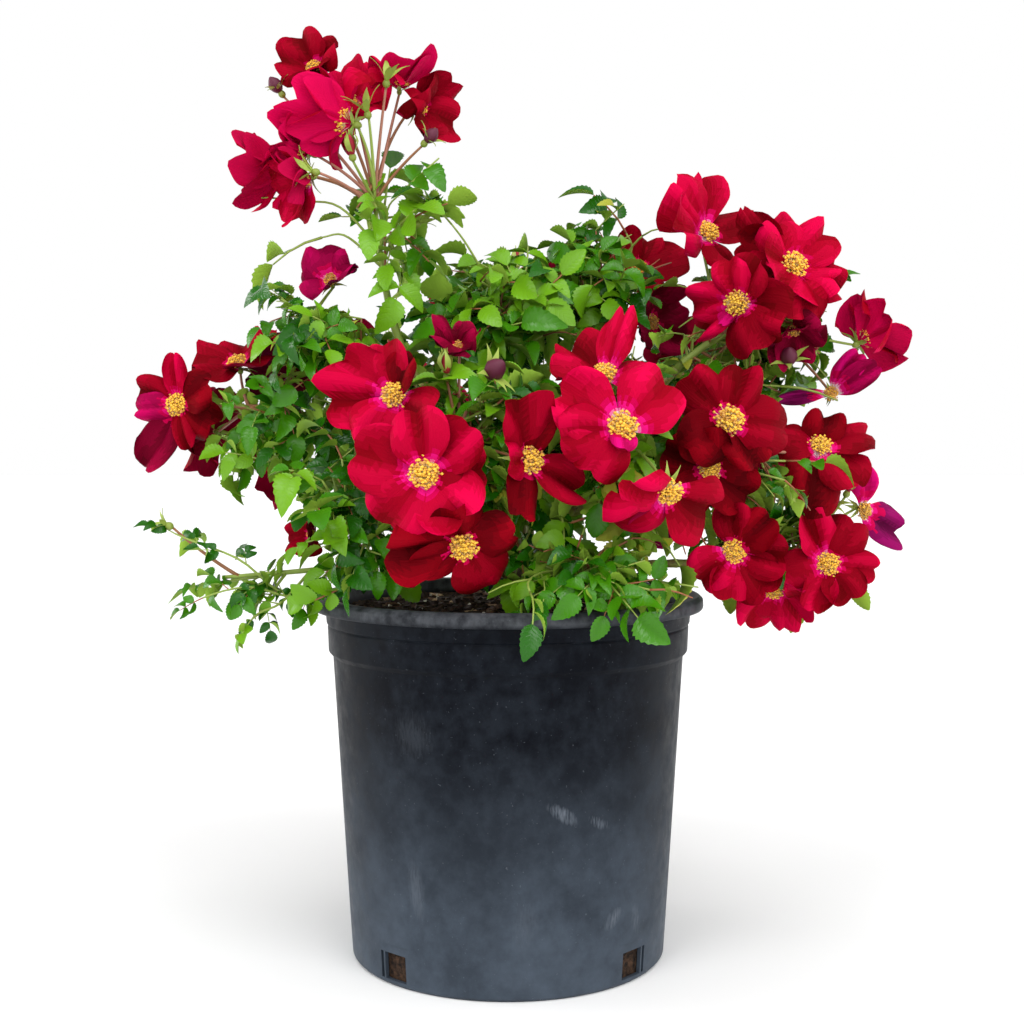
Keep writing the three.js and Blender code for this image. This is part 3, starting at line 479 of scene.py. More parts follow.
def moist_potting_mix():
    """Composted bark and peat, damp: near black, with browner crumbs and a matt surface."""
    material, shader = finish("moist_potting_mix", "#1c130d", 0.95, Specular_IOR_Level=0.25)
    place = add_node(material, "ShaderNodeTexCoord", {}).outputs["Object"]
    crumbs = add_node(material, "ShaderNodeTexNoise", {
        "Vector": place, "Scale": 1 / (3.5 * MM), "Detail": 5, "Roughness": 0.65})
    ramp = add_node(material, "ShaderNodeValToRGB", {"Fac": crumbs.outputs["Fac"]})
    ramp.color_ramp.elements[0].position = 0.38
    ramp.color_ramp.elements[0].color = linear("#0d0806")
    ramp.color_ramp.elements[1].position = 0.68
    ramp.color_ramp.elements[1].color = linear("#4a3526")
    material.node_tree.links.new(ramp.outputs["Color"], shader.inputs["Base Color"])
    bump = add_node(material, "ShaderNodeBump", {
        "Height": crumbs.outputs["Fac"], "Strength": 0.8, "Distance": 1.2 * MM})
    material.node_tree.links.new(bump.outputs["Normal"], shader.inputs["Normal"])
    return material


def cane_bark(name, young, old, roughness):
    """Rose bark: smooth green skin on young wood, browning in lengthwise flecks as it ages."""
    material, shader = finish(name, young, roughness)
    place = add_node(material, "ShaderNodeTexCoord", {}).outputs["Object"]
    # Flecks a few millimetres long; the bark's grain is about 0.8 mm.
    flecks = add_node(material, "ShaderNodeTexNoise", {
        "Vector": place, "Scale": 1 / (7 * MM), "Detail": 6, "Roughness": 0.7})
    grain = add_node(material, "ShaderNodeTexNoise", {"Vector": place, "Scale": 1 / (0.8 * MM), "Detail": 3})
    ramp = add_node(material, "ShaderNodeMapRange", {
        "Value": flecks.outputs["Fac"], "From Min": 0.4, "From Max": 0.62})
    flecked = add_node(material, "ShaderNodeMix", {
        "Factor": ramp.outputs["Result"], MIX_A: linear(young), MIX_B: linear(old)}, data_type="RGBA")
    material.node_tree.links.new(flecked.outputs[MIX_RESULT], shader.inputs["Base Color"])
    bump = add_node(material, "ShaderNodeBump", {
        "Height": grain.outputs["Fac"], "Strength": 0.5, "Distance": 0.3 * MM})
    material.node_tree.links.new(bump.outputs["Normal"], shader.inputs["Normal"])
    return material


def leaf_skin(name, colour, roughness, specular):
    """A rose leaflet's waxy skin: a soft gloss broken by veins that run out from the midrib."""
    material, shader = finish(name, colour, roughness, Specular_IOR_Level=specular)
    grain = add_node(material, "ShaderNodeUVMap", {}, uv_map="grain")
    parts = add_node(material, "ShaderNodeSeparateXYZ", {"Vector": grain.outputs["UV"]})
    # Along the leaflet runs X, from 0 to 1; across it Y, from -1 to 1. Six veins leave each side.
    out = add_node(material, "ShaderNodeMath", {0: parts.outputs["Y"]}, operation="ABSOLUTE")
    slant = add_node(material, "ShaderNodeMath", {
        0: out.outputs["Value"], 1: -0.32, 2: parts.outputs["X"]}, operation="MULTIPLY_ADD")
    vein = add_node(material, "ShaderNodeMath", {
        0: slant.outputs["Value"], 1: 1 / 14}, operation="PINGPONG")
    height = add_node(material, "ShaderNodeMapRange", {
        "Value": vein.outputs["Value"], "From Min": 0.0, "From Max": 0.03})
    bump = add_node(material, "ShaderNodeBump", {
        "Height": height.outputs["Result"], "Strength": 0.3, "Distance": 0.25 * MM})
    material.node_tree.links.new(bump.outputs["Normal"], shader.inputs["Normal"])
    return material


def petal_skin(name, colour):
    """A rose petal's velvety skin: hardly any gloss, and faint veins that fan out from its claw."""
    material, shader = finish(name, colour, 0.6, Specular_IOR_Level=0.03)
    grain = add_node(material, "ShaderNodeUVMap", {}, uv_map="grain")
    fan = add_node(material, "ShaderNodeMapping", {"Vector": grain.outputs["UV"], "Scale": (1.2, 9, 1)})
    veins = add_node(material, "ShaderNodeTexNoise", {
        "Vector": fan.outputs["Vector"], "Scale": 2.0, "Detail": 3})
    bump = add_node(material, "ShaderNodeBump", {
        "Height": veins.outputs["Fac"], "Strength": 0.5, "Distance": 1.2 * MM})
    material.node_tree.links.new(bump.outputs["Normal"], shader.inputs["Normal"])
    return material


# ---------- vectors and lines ----------
def unit(vectors):
    """Vectors made one long."""
    return vectors / np.maximum(np.linalg.norm(vectors, axis=-1, keepdims=True), 1e-9)


def chance(seed, item, use):
    """A number from 0 to 1 that depends only on where it is asked for."""
    wave = np.sin(seed * 12.9898 + item * 78.233 + use * 37.719) * 43758.5453
    return wave - np.floor(wave)


def between(limits, share):
    """The value this share of the way from the first limit to the second."""
    return limits[0] + (limits[1] - limits[0]) * share


def turned(vectors, axes, angles):
    """Vectors turned about unit axes by angles in radians."""
    angles = np.asarray(angles)[..., None]
    along = (vectors * axes).sum(-1, keepdims=True)
    return (vectors * np.cos(angles) + np.cross(axes, vectors) * np.sin(angles)
            + axes * along * (1 - np.cos(angles)))


class Route:
    """A line through space that gives its places by the share of its length."""

    def __init__(self, points):
        self.points = np.asarray(points, float)
        steps = np.linalg.norm(np.diff(self.points, axis=0), axis=1)
        self.reached = np.concatenate([[0], np.cumsum(steps)])
        self.length = self.reached[-1]

    def at(self, share):
        way = np.asarray(share) * self.length
        return np.stack([np.interp(way, self.reached, self.points[:, i]) for i in range(3)], axis=-1)

    def heading(self, share):
        return unit(self.at(min(share + 0.01, 1)) - self.at(max(share - 0.01, 0)))


def bezier(start, bend, end, steps=40):
    """A smooth line from start to end, pulled towards bend."""
    t = np.linspace(0, 1, steps)[:, None]
    return Route((1 - t) ** 2 * start + 2 * t * (1 - t) * bend + t ** 2 * end)


def through(points, steps=24):
    """A smooth line through points: centripetal Catmull-Rom, as the solids' canes follow."""
    points = [np.asarray(p, float) for p in points]
    points = [2 * points[0] - points[1], *points, 2 * points[-1] - points[-2]]
    line = [points[1]]
    for before, start, end, after in zip(points, points[1:], points[2:], points[3:]):
        gaps = [math.sqrt(np.linalg.norm(b - a)) for a, b in ((before, start), (start, end), (end, after))]
        leave = gaps[1] * (
            (start - before) / gaps[0] - (end - before) / (gaps[0] + gaps[1]) + (end - start) / gaps[1])
        reach = gaps[1] * (
            (end - start) / gaps[1] - (after - start) / (gaps[1] + gaps[2]) + (after - end) / gaps[2])
        for t in np.linspace(0, 1, steps + 1)[1:]:
            a, b = end - start, leave + reach
            line.append(start + leave * t + (3 * a - leave - b) * t ** 2 + (b - 2 * a) * t ** 3)
    return Route(line)


# ---------- making meshes ----------
def dress(piece, slot, *replaced):
    """Puts a finished piece under its body and hides the nodes it stands for; slot, the name of its finish,
    is not used.
    """
    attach(piece, "root")
    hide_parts(*replaced)
    return piece


def select_only(piece):
    bpy.ops.object.select_all(action="DESELECT")
    piece.select_set(True)
    bpy.context.view_layer.objects.active = piece


def apply_modifier(piece, kind, **settings):
    modifier = piece.modifiers.new(kind.lower(), kind)
    for name, value in settings.items():
        setattr(modifier, name, value)
    select_only(piece)
    bpy.ops.object.modifier_apply(modifier=modifier.name)


class Pile:
    """Many small shapes gathered into one mesh, in millimetres."""

    def __init__(self, name, *materials):
        self.name, self.materials = name, materials
        self.points, self.triangles, self.slots, self.grain = [], [], [], []
        self.count = 0

    def add(self, points, triangles, slots=0, grain=None):
        """points: (copies, corners, 3). slots: one, one a copy as (copies, 1), or one a face."""
        copies, corners = points.shape[:2]
        first = self.count + np.arange(copies) * corners
        self.points.append(points.reshape(-1, 3))
        self.triangles.append((triangles[None] + first[:, None, None]).reshape(-1, 3))
        self.slots.append(np.broadcast_to(slots, (copies, len(triangles))).ravel())
        grain = np.zeros((corners, 2)) if grain is None else grain
        self.grain.append(np.broadcast_to(grain, (copies, corners, 2)).reshape(-1, 2))
        self.count += copies * corners

    def made(self):
        points = np.concatenate(self.points) * MM
        triangles = np.concatenate(self.triangles)
        data = bpy.data.meshes.new(self.name)
        data.vertices.add(len(points))
        data.vertices.foreach_set("co", points.ravel())
        data.loops.add(triangles.size)
        data.loops.foreach_set("vertex_index", triangles.ravel().astype(np.int32))
        data.polygons.add(len(triangles))
        data.polygons.foreach_set("loop_start", np.arange(0, triangles.size, 3, dtype=np.int32))
        data.polygons.foreach_set("material_index", np.concatenate(self.slots).astype(np.int32))
        data.polygons.foreach_set("use_smooth", np.ones(len(triangles), bool))
        layer = data.uv_layers.new(name="grain")
        layer.uv.foreach_set("vector", np.concatenate(self.grain)[triangles.ravel()].ravel())
        for material in self.materials:
            data.materials.append(material)
        data.update(calc_edges=True)
        piece = bpy.data.objects.new(self.name, data)
        bpy.context.scene.collection.objects.link(piece)
        return piece


def tube_faces(rings, sides):
    """The triangles of a closed tube: its rings' corners, then the middles of its two ends."""
    i, j = [a.ravel() for a in np.meshgrid(np.arange(rings - 1), np.arange(sides), indexing="ij")]
    k = (j + 1) % sides
    a, b, c, d = i * sides + j, i * sides + k, (i + 1) * sides + k, (i + 1) * sides + j
    j, k = np.arange(sides), (np.arange(sides) + 1) % sides
    last = (rings - 1) * sides
    ends = [np.stack([np.full(sides, rings * sides), k, j], 1),
            np.stack([np.full(sides, rings * sides + 1), last + j, last + k], 1)]
    return np.concatenate([np.stack([a, b, c], 1), np.stack([a, c, d], 1), *ends])


def add_tubes(pile, centres, radii, sides, slots=0):
    """Round rods along lines: centres (copies, rings, 3), radii (copies or 1, rings)."""
    heading = unit(np.gradient(centres, axis=1))
    level = np.where(np.abs(heading[:, :1, 2:]) < 0.8, [0.0, 0, 1], [1.0, 0, 0])
    across = unit(np.cross(heading, level))
    other = np.cross(heading, across)
    turn = np.arange(sides) * 2 * np.pi / sides
    ring = across[:, :, None] * np.cos(turn)[:, None] + other[:, :, None] * np.sin(turn)[:, None]
    walls = centres[:, :, None] + ring * np.asarray(radii)[..., None, None]
    copies, rings = centres.shape[:2]
    points = np.concatenate([walls.reshape(copies, -1, 3), centres[:, :1], centres[:, -1:]], 1)
    pile.add(points, tube_faces(rings, sides), slots)


# ---------- the pot ----------
def pull_up(name, profile, sides):
    """A closed round piece pulled up ring by ring from a disc; profile gives (radius, height)."""
    bpy.ops.object.select_all(action="DESELECT")
    radius, height = profile[0]
    bpy.ops.mesh.primitive_circle_add(
        vertices=sides, radius=radius * MM, fill_type="NGON", location=(0, 0, height * MM))
    piece = bpy.context.object
    piece.name = name
    bpy.ops.object.transform_apply(location=True, rotation=True, scale=True)
    bpy.ops.object.mode_set(mode="EDIT")
    bpy.ops.mesh.select_all(action="SELECT")
    for next_radius, next_height in profile[1:]:
        rise = (next_height - height) * MM
        bpy.ops.mesh.extrude_region_move(TRANSFORM_OT_translate={"value": (0, 0, rise)})
        share = next_radius / radius
        bpy.ops.transform.resize(value=(share, share, 1), center_override=(0, 0, next_height * MM))
        radius, height = next_radius, next_height
    return piece


def cut(piece, size, centre, turn):
    """Cuts a box out of a piece: its size, its centre before it is turned, and that turn."""
    angle = math.radians(turn)
    place = Vector([c * MM for c in centre])
    x = place.x * math.cos(angle) - place.y * math.sin(angle)
    y = place.x * math.sin(angle) + place.y * math.cos(angle)
    bpy.ops.object.select_all(action="DESELECT")
    bpy.ops.mesh.primitive_cube_add(
        size=1, scale=[s * MM for s in size], location=(x, y, place.z), rotation=(0, 0, angle))
    cutter = bpy.context.object
    apply_modifier(piece, "BOOLEAN", operation="DIFFERENCE", solver="EXACT", object=cutter)
    bpy.data.objects.remove(cutter)


def make_pot():
    """The pot: pulled up in one, outside and inside, then cut open at its foot."""
    p = POT
    inner = p["wall"]
    mend = 30  # a ring above the drain openings keeps the cut faces short
    at_mend = p["base_radius"] + (p["step_radius"] - p["base_radius"]) * mend / p["step_height"]
    profile = [
        (p["base_radius"] - 2, 0),
        (p["base_radius"], 2),
        (at_mend, mend),
        (p["step_radius"], p["step_height"]),
        (p["band_radius"], p["band_bottom"]),
        (p["band_radius"] + 0.6, p["band_top"] - 1),
        (p["band_radius"] - 0.1, p["band_top"]),
        (p["collar_radius"] - 0.8, p["band_top"] + 1),
        (p["collar_radius"], p["lip_bottom"]),
        (LIP_RADIUS - 0.8, p["lip_bottom"] + 0.4),
        (LIP_RADIUS, p["lip_bottom"] + 2),
        (LIP_RADIUS - 0.2, POT_HEIGHT - 2.6),
        (LIP_RADIUS - 2.4, POT_HEIGHT - 0.4),
        (LIP_RADIUS - 4.4, POT_HEIGHT),
        (p["collar_radius"] - inner + 0.6, POT_HEIGHT - 0.8),
        (p["band_radius"] - inner, p["band_bottom"]),
        (p["step_radius"] - inner, p["step_height"] - inner),
        (p["base_radius"] - inner, p["floor"]),
    ]
    pot = pull_up("pot_wall", profile, p["sides"])
    bpy.ops.object.mode_set(mode="OBJECT")
    apply_modifier(
        pot, "BEVEL", width=0.5 * MM, segments=2, limit_method="ANGLE", angle_limit=math.radians(24))
    out = p["base_radius"]
    middle = DRAIN["bottom"] + DRAIN["height"] / 2
    panel_out = out + PANEL["cutter"] / 2 - PANEL["depth"] + PANEL["lean"]
    panel_middle = PANEL["height"] / 2 + PANEL["bottom"]
    panel_size = (PANEL["width"], PANEL["cutter"], PANEL["height"])
    for turn in DRAIN["turns"]:
        hand = 1 if math.sin(math.radians(turn)) > 0 else -1
        slot_across = hand * (DRAIN["width"] / 2 + DRAIN["web"] + DRAIN["slot"] / 2)
        panel_across = hand * (DRAIN["web"] + DRAIN["slot"]) / 2
        cut(pot, panel_size, (panel_across, -panel_out, panel_middle), turn)
        for width, across in ((DRAIN["width"], 0), (DRAIN["slot"], slot_across)):
            cut(pot, (width, DRAIN["cutter"], DRAIN["height"]), (across, -out, middle), turn)
    select_only(pot)
    bpy.ops.object.shade_smooth_by_angle(angle=math.radians(32))
    pot.data.materials.append(moulded_polypropylene())
    return dress(pot, "pot_plastic", "pot")


# ---------- the potting mix ----------
def make_soil():
    """The mix that fills the pot: domed a little, its surface rough with clods."""
    p = POT
    inset = p["wall"] + 0.5
    edge = p["band_radius"] - inset
    profile = [
        (p["base_radius"] - inset, p["floor"] + 0.3),
        (p["step_radius"] - inset, p["step_height"] - p["wall"]),
        (edge, p["band_bottom"] + 0.3),
        (edge, SOIL["edge"]),
    ]
    soil = pull_up("potting_mix", profile, 120)
    rings = 26
    for _ in range(rings):
        step = (edge - 1) / rings
        bpy.ops.mesh.inset(thickness=step * MM, depth=(SOIL["top"] - SOIL["edge"]) / rings * MM)
    bpy.ops.object.mode_set(mode="OBJECT")
    top = [v.index for v in soil.data.vertices if v.co.z > (SOIL["edge"] - 0.5) * MM]
    soil.vertex_groups.new(name="surface").add(top, 1.0, "REPLACE")
    apply_modifier(soil, "SUBSURF", subdivision_type="SIMPLE", levels=1, render_levels=1)
    for kind, size, strength in (("CLOUDS", 13, 6), ("CLOUDS", 4.5, 4.5), ("STUCCI", 2.2, 1.6)):
        texture = bpy.data.textures.new(f"clods_{size}", kind)
        texture.noise_scale = size * MM
        apply_modifier(
            soil, "DISPLACE", texture=texture, strength=strength * MM, mid_level=0.55, direction="Z",
            texture_coords="LOCAL", vertex_group="surface")
    soil.data.materials.append(moist_potting_mix())
    return dress(soil, "potting_mix", "soil")


def on_soil(soil):
    """A function that gives the height of the mix's surface over a place."""
    tree = BVHTree.FromObject(soil, bpy.context.evaluated_depsgraph_get())

    def height(x, y):
        hit = tree.ray_cast(Vector((x * MM, y * MM, 300 * MM)), Vector((0, 0, -1)))[0]
        return hit.z / MM if hit else SOIL["edge"]

    return height


CUBE = np.array([[x, y, z] for x in (-1, 1) for y in (-1, 1) for z in (-1, 1)], float)
CUBE_FACES = np.array([
    (0, 1, 3), (0, 3, 2), (4, 6, 7), (4, 7, 5), (0, 4, 5), (0, 5, 1),
    (2, 3, 7), (2, 7, 6), (0, 2, 6), (0, 6, 4), (1, 5, 7), (1, 7, 3)])


def make_crumbs(soil):
    """Bark chips, splinters, clods and white grains of perlite that lie on the mix."""
    height = on_soil(soil)
    kinds = [  # (how many, half sizes low, half sizes high, slot)
        (420, (1.2, 1.0, 0.8), (3.4, 2.6, 2.0), 0),
        (150, (2.5, 1.2, 0.5), (6.5, 2.8, 1.1), 1),
        (46, (3.0, 1.0, 0.5), (8.5, 2.2, 1.0), 2),
        (70, (0.7, 0.6, 0.6), (1.5, 1.3, 1.1), 3),
    ]
    pile = Pile(
        "bark_chips",
        finish("composted_bark", "#2a1b12", 0.9)[0],
        finish("brown_bark_chip", "#5e4330", 0.85)[0],
        finish("pale_wood_splinter", "#a98c6b", 0.8)[0],
        finish("perlite_grain", "#d9d4c8", 0.9)[0],
    )
    generator = np.random.default_rng(CRUMBS["seed"])
    for count, low, high, slot in kinds:
        size = generator.uniform(low, high, (count, 3))
        out = np.sqrt(generator.uniform(0.0, 1, count)) * CRUMBS["reach"]
        turn = generator.uniform(0, 2 * np.pi, count)
        x, y = out * np.cos(turn), out * np.sin(turn)
        z = np.array([height(a, b) for a, b in zip(x, y)])
        shape = CUBE * size[:, None] * generator.uniform(0.62, 1.1, (count, 8, 3))
        spin, lean = generator.uniform(0, 2 * np.pi, count), generator.normal(0, 0.3, count)
        shape = turned(shape, np.broadcast_to([1.0, 0, 0], shape.shape), lean[:, None])
        shape = turned(shape, np.broadcast_to([0.0, 0, 1], shape.shape), spin[:, None])
        # Each one lies sunk a little into the mix.
        place = np.stack([x, y, np.minimum(z + size[:, 2] * 0.35, CRUMBS["highest"])], 1)
        pile.add(shape + place[:, None], CUBE_FACES, slot)
    crumbs = pile.made()
    crumbs.data.polygons.foreach_set("use_smooth", np.zeros(len(crumbs.data.polygons), bool))
    return dress(crumbs, "potting_mix")


# ---------- the trunk and the canes ----------
def woody_limb(name, route, radii, material, relief):
    """One limb: a round curve with its own taper, made a mesh, with the bark's relief raised on it."""
    rings = max(8, int(route.length / 1.8))
    shares = np.linspace(0, 1, rings)
    curve = bpy.data.curves.new(name, "CURVE")
    curve.dimensions = "3D"
    curve.bevel_depth = MM
    curve.bevel_resolution = 6
    curve.use_fill_caps = True
    spline = curve.splines.new("POLY")
    spline.points.add(rings - 1)
    for point, share, place in zip(spline.points, shares, route.at(shares)):
        point.co = (*(place * MM), 1)
        # A node, where a leaf once sat, swells the cane a little every 20 mm or so.
        from_node = (share * route.length) % NODE["every"] - NODE["at"]
        point.radius = radii(share) * (1 + NODE["swell"] * math.exp(-(from_node / NODE["length"]) ** 2))
    limb = bpy.data.objects.new(name, curve)
    bpy.context.scene.collection.objects.link(limb)
    select_only(limb)
    bpy.ops.object.convert(target="MESH")
    limb = bpy.context.object
    for size, strength in relief:
        texture = bpy.data.textures.new(f"{name}_{size}", "CLOUDS")
        texture.noise_scale = size * MM
        apply_modifier(limb, "DISPLACE", texture=texture, strength=strength * MM, mid_level=0.5,
                       texture_coords="LOCAL")
    select_only(limb)
    bpy.ops.object.shade_smooth()
    limb.data.materials.clear()
    limb.data.materials.append(material)
    return limb


def trunk_radius(share):
    """The trunk tapers evenly, with a root flare at its foot."""
    even = between((TRUNK["waist"], TRUNK["tip"]), share)
    return even + (1 - share) ** 3 * (TRUNK["flare"] - TRUNK["waist"])


def make_wood(routes):
    """The trunk in ridged old bark, and the canes in smooth skin."""
    old = cane_bark("ridged_old_bark", "#6a5743", "#3b2d22", 0.85)
    young = cane_bark("smooth_cane_skin", "#93a044", "#7c5f38", 0.5)
    trunk = woody_limb("trunk_bark", routes["trunk"], trunk_radius, old, [(7, 2.4), (2.4, 1.0)])
    dress(trunk, "cane_bark", "trunk")
    for name, _, _, _, root, tip in CANES:
        def taper(share, ends=(root, tip)):
            return between(ends, share)

        limb = woody_limb(f"{name}_bark", routes[name], taper, young, [(6, 0.9), (1.6, 0.35)])
        dress(limb, "cane_bark", name)


# ---------- how the bush grows ----------
class Mass:
    """One mass of foliage: its space and the stem that runs on into it from its cane."""

    def __init__(self, routes, name, cane, centre, half, wanted, scale, seed):
        self.name, self.wanted, self.scale, self.seed = name, wanted, scale, seed
        self.centre, self.half = np.array(centre, float), np.array(half, float)
        self.radius = next(tip for other, *_, tip in CANES if other == cane)
        tip, heading = routes[cane].at(1), routes[cane].heading(1)
        reach = self.centre - tip
        bend = tip + heading * np.linalg.norm(reach) * STEM_CARRIES_ON
        self.stem = bezier(tip, bend, tip + reach * SPRAY_REACH.get(name, STEM_REACH))
        self.shoots = [Shoot(self.stem.at(share), *row) for owner, share, *row in SHOOTS if owner == name]


class Shoot:
    """One long thin shoot that leaves its mass, with leaves on alternate sides and one at its end."""

    def __init__(self, start, points, count, size):
        self.route, self.count, self.size = through([start, *points]), count, size

    def leaves(self, spray):
        made = []
        for n, share in enumerate(np.linspace(1, SHOOT["from"], self.count)):
            heading = self.route.heading(min(share, 0.97))
            face = unit(np.array([0.1 * (-1) ** n, -0.45, 0.85]) - heading * 0.3)
            normal = np.cross(unit(np.cross(heading, face)), heading)
            hand = 0 if n == 0 else (-1) ** n
            ahead = turned(heading[None], normal[None], np.array([hand * math.radians(LEAF_TURN)]))[0]
            made.append((self.route.at(share), ahead, face, spray, self.size))
        return made


def facing_way(turn, tilt):
    """The way that a turn from the front and a tilt above level face, both in degrees."""
    turn, tilt = math.radians(turn), math.radians(tilt)
    return np.array([math.sin(turn) * math.cos(tilt), -math.cos(turn) * math.cos(tilt), math.sin(tilt)])


def stalk_to(mass, place, facing):
    """A flower stalk leaves the stem a little before the point nearest to its flower."""
    end = place - facing * STALK["seat"]
    shares = STALK["first"] + np.arange(15) * 0.05
    nearest = shares[np.linalg.norm(mass.stem.at(shares) - end, axis=1).argmin()]
    leaves = max(STALK["first"], nearest - STALK["before"])
    start = mass.stem.at(leaves)
    length = np.linalg.norm(end - start)
    bend = (start + end) / 2 + mass.stem.heading(leaves) * length * STALK["rise"]
    return bezier(start, bend - facing * length * STALK["curl"], end)


class Bush:
    """Every limb and flower of the bush, and what a twig or leaf has to keep clear of."""

    def __init__(self):
        self.routes = {"trunk": Route([TRUNK["foot"], TRUNK["fork"]])}
        # The canes' places on the trunk are counted from the mix's surface, not from its cut foot.
        source_trunk = Route([(12, 0, SOIL["top"] + 0.3), TRUNK["fork"]])
        for name, carrier, share, points, *_ in CANES:
            carried_by = source_trunk if carrier == "trunk" else self.routes[carrier]
            self.routes[name] = through([carried_by.at(share), *points])
        self.masses = [Mass(self.routes, *row) for row in MASSES]
        named = {mass.name: mass for mass in self.masses}
        self.blooms, self.buds = [], []
        for i, (mass, centre, diameter, turn, tilt, rise, age) in enumerate(BLOOMS):
            facing, centre = facing_way(turn, tilt), np.array(centre, float)
            self.blooms.append({
                "mass": named[mass], "centre": centre, "radius": diameter / 2, "facing": facing,
                "rise": math.radians(rise), "roll": chance(ROLL_SEED, i, 1) * 2 * math.pi, "age": age,
                "stalk": stalk_to(named[mass], centre, facing)})
        for mass, place, turn, tilt, length, kind in BUDS:
            facing, place = facing_way(turn, tilt), np.array(place, float)
            self.buds.append({
                "mass": named[mass], "place": place, "facing": facing, "length": length, "kind": kind,
                "stalk": stalk_to(named[mass], place, facing)})
        self.note_limbs()

    def note_limbs(self):
        rows = [("trunk", self.routes["trunk"], TRUNK["flare"])]
        rows += [(name, self.routes[name], root) for name, *_, root, _ in CANES]
        rows += [(mass.name, mass.stem, mass.radius) for mass in self.masses]
        rows += [(flower["mass"].name, flower["stalk"], STALK["base"]) for flower in self.blooms + self.buds]
        places = [route.at(np.linspace(0, 1, max(2, int(route.length / 5)))) for _, route, _ in rows]
        reach = [np.full(len(p), radius + CLEAR["limb"]) for p, (_, _, radius) in zip(places, rows)]
        owner = [np.full(len(p), name, object) for p, (name, _, _) in zip(places, rows)]
        self.limb_places = np.concatenate(places)
        self.limb_reach = np.concatenate(reach)
        self.limb_owner = np.concatenate(owner)

    def in_own_space(self, mass, points):
        own = np.linalg.norm((points - mass.centre) / mass.half, axis=-1)
        others = [np.linalg.norm((points - o.centre) / o.half, axis=-1) for o in self.masses if o is not mass]
        return (own <= 1) & (np.min(others, axis=0) > own + CLEAR["space"])

    def touches_limb(self, mass, points):
        others = self.limb_owner != mass.name
        off = points[:, None] - self.limb_places[None, others]
        return (np.einsum("pli,pli->pl", off, off) < self.limb_reach[others] ** 2).any(axis=1)

    def hides_bloom(self, points):
        return self.near_bloom(points, CLEAR["view"])

    def near_bloom(self, points, far=CLEAR["before"]):
        near = np.zeros(len(points), bool)
        for bloom in self.blooms:
            off = points - bloom["centre"]
            before = off @ bloom["facing"]
            aside = np.sqrt(np.maximum(0, (off ** 2).sum(1) - before ** 2))
            near |= (before > -CLEAR["behind"]) & (before < far) & (aside < bloom["radius"] + CLEAR["round"])
        return near

    def near_pot(self, points):
        out = np.hypot(points[:, 0], points[:, 1])
        beside = (points[:, 2] <= POT_HEIGHT + CLEAR["pot"]) & (out <= LIP_RADIUS + CLEAR["pot"])
        return beside & ((out > CLEAR["rim"]) | (points[:, 2] < SOIL["top"] + CLEAR["pot"]))

    def free(self, mass, points):
        """For points (..., 3) of one mass: whether each has room."""
        flat = points.reshape(-1, 3)
        good = self.in_own_space(mass, flat) & ~self.near_bloom(flat) & ~self.near_pot(flat)
        left = np.flatnonzero(good)
        for some in np.array_split(left, max(1, len(left) // 4000)):
            good[some] &= ~self.touches_limb(mass, flat[some])
        return good.reshape(points.shape[:-1])

    def twigs(self, mass):
        """Every twig tried in a mass: start, end and the way its leaves face."""
        k = np.arange(TWIG["tries"])
        turn = k * GOLDEN_ANGLE + mass.seed
        height = 2 * chance(mass.seed, k, 6) - 1
        level = np.sqrt(1 - height ** 2)
        out = np.stack([np.cos(turn) * level, np.sin(turn) * level, height], 1)
        share = between(TWIG["ends"], chance(mass.seed, k, 1))
        end = out * mass.half * share[:, None] + mass.centre
        start = mass.stem.at(between(TWIG["starts"], chance(mass.seed, k, 2)))
        lean = np.stack([
            chance(mass.seed, k, 3) - 0.5, chance(mass.seed, k, 4) - 0.6, np.full(len(k), 0.95)], 1)
        return start, end, unit(lean + 0.55 * out)

    def leaf_places(self, mass):
        """The twigs that find room in a mass, and the leaves that they carry."""
        start, end, face = self.twigs(mass)
        shares = np.linspace(0, 1, 9)[:, None]
        lines = start[:, None] + (end - start)[:, None] * shares
        open_way = self.free(mass, lines[:, 2:]).all(axis=1)
        start, end, face = start[open_way], end[open_way], face[open_way]
        heading = unit(end - start)
        side = unit(np.cross(heading, face))
        normal = np.cross(side, heading)
        candidates = []
        for i, along in enumerate(LEAVES_AT):
            hand = 0 if i == 0 else (1 if i % 2 else -1)
            ahead = turned(heading, normal, np.full(len(heading), hand * math.radians(LEAF_TURN)))
            candidates.append((start + (end - start) * along, ahead))
        roots = np.stack([c[0] for c in candidates], 1)
        ahead = np.stack([c[1] for c in candidates], 1)
        reach = (RACHIS["length"] + LEAFLET["length"]) * mass.scale
        ahead = unit(ahead + np.array([0, 0, -0.12]))
        spots = roots[:, :, None] + ahead[:, :, None] * reach * np.array([0.35, 0.6, 0.85])[:, None]
        room = self.free(mass, spots).all(axis=2)
        return start, end, face, roots, ahead, spots, room

    def grow(self, mass):
        """Takes the twigs one by one, as long as more leaves are wanted, and drops crowded leaves."""
        start, end, face, roots, ahead, spots, room = self.leaf_places(mass)
        taken = np.zeros((0, 3))
        twigs, leaves = [], []
        for t in range(len(start)):
            if len(leaves) >= mass.wanted * FINER * SPARSE.get(mass.name, 1):
                break
            kept = []
            for i in np.flatnonzero(room[t]):
                middle = spots[t, i, 1]
                if len(taken) and np.linalg.norm(taken - middle, axis=1).min() < CROWD * mass.scale:
                    continue
                kept.append(i)
                taken = np.vstack([taken, middle])
            if len(kept) < 2:
                taken = taken[:len(taken) - len(kept)]
                continue
            furthest = LEAVES_AT[min(kept)]
            twigs.append((start[t], start[t] + (end[t] - start[t]) * furthest))
            leaves += [(roots[t, i], ahead[t, i], face[t], t, LARGE.get(mass.name, 1)) for i in kept]
        for shoot in mass.shoots:
            leaves += shoot.leaves(len(twigs) + len(leaves))
        return twigs, leaves


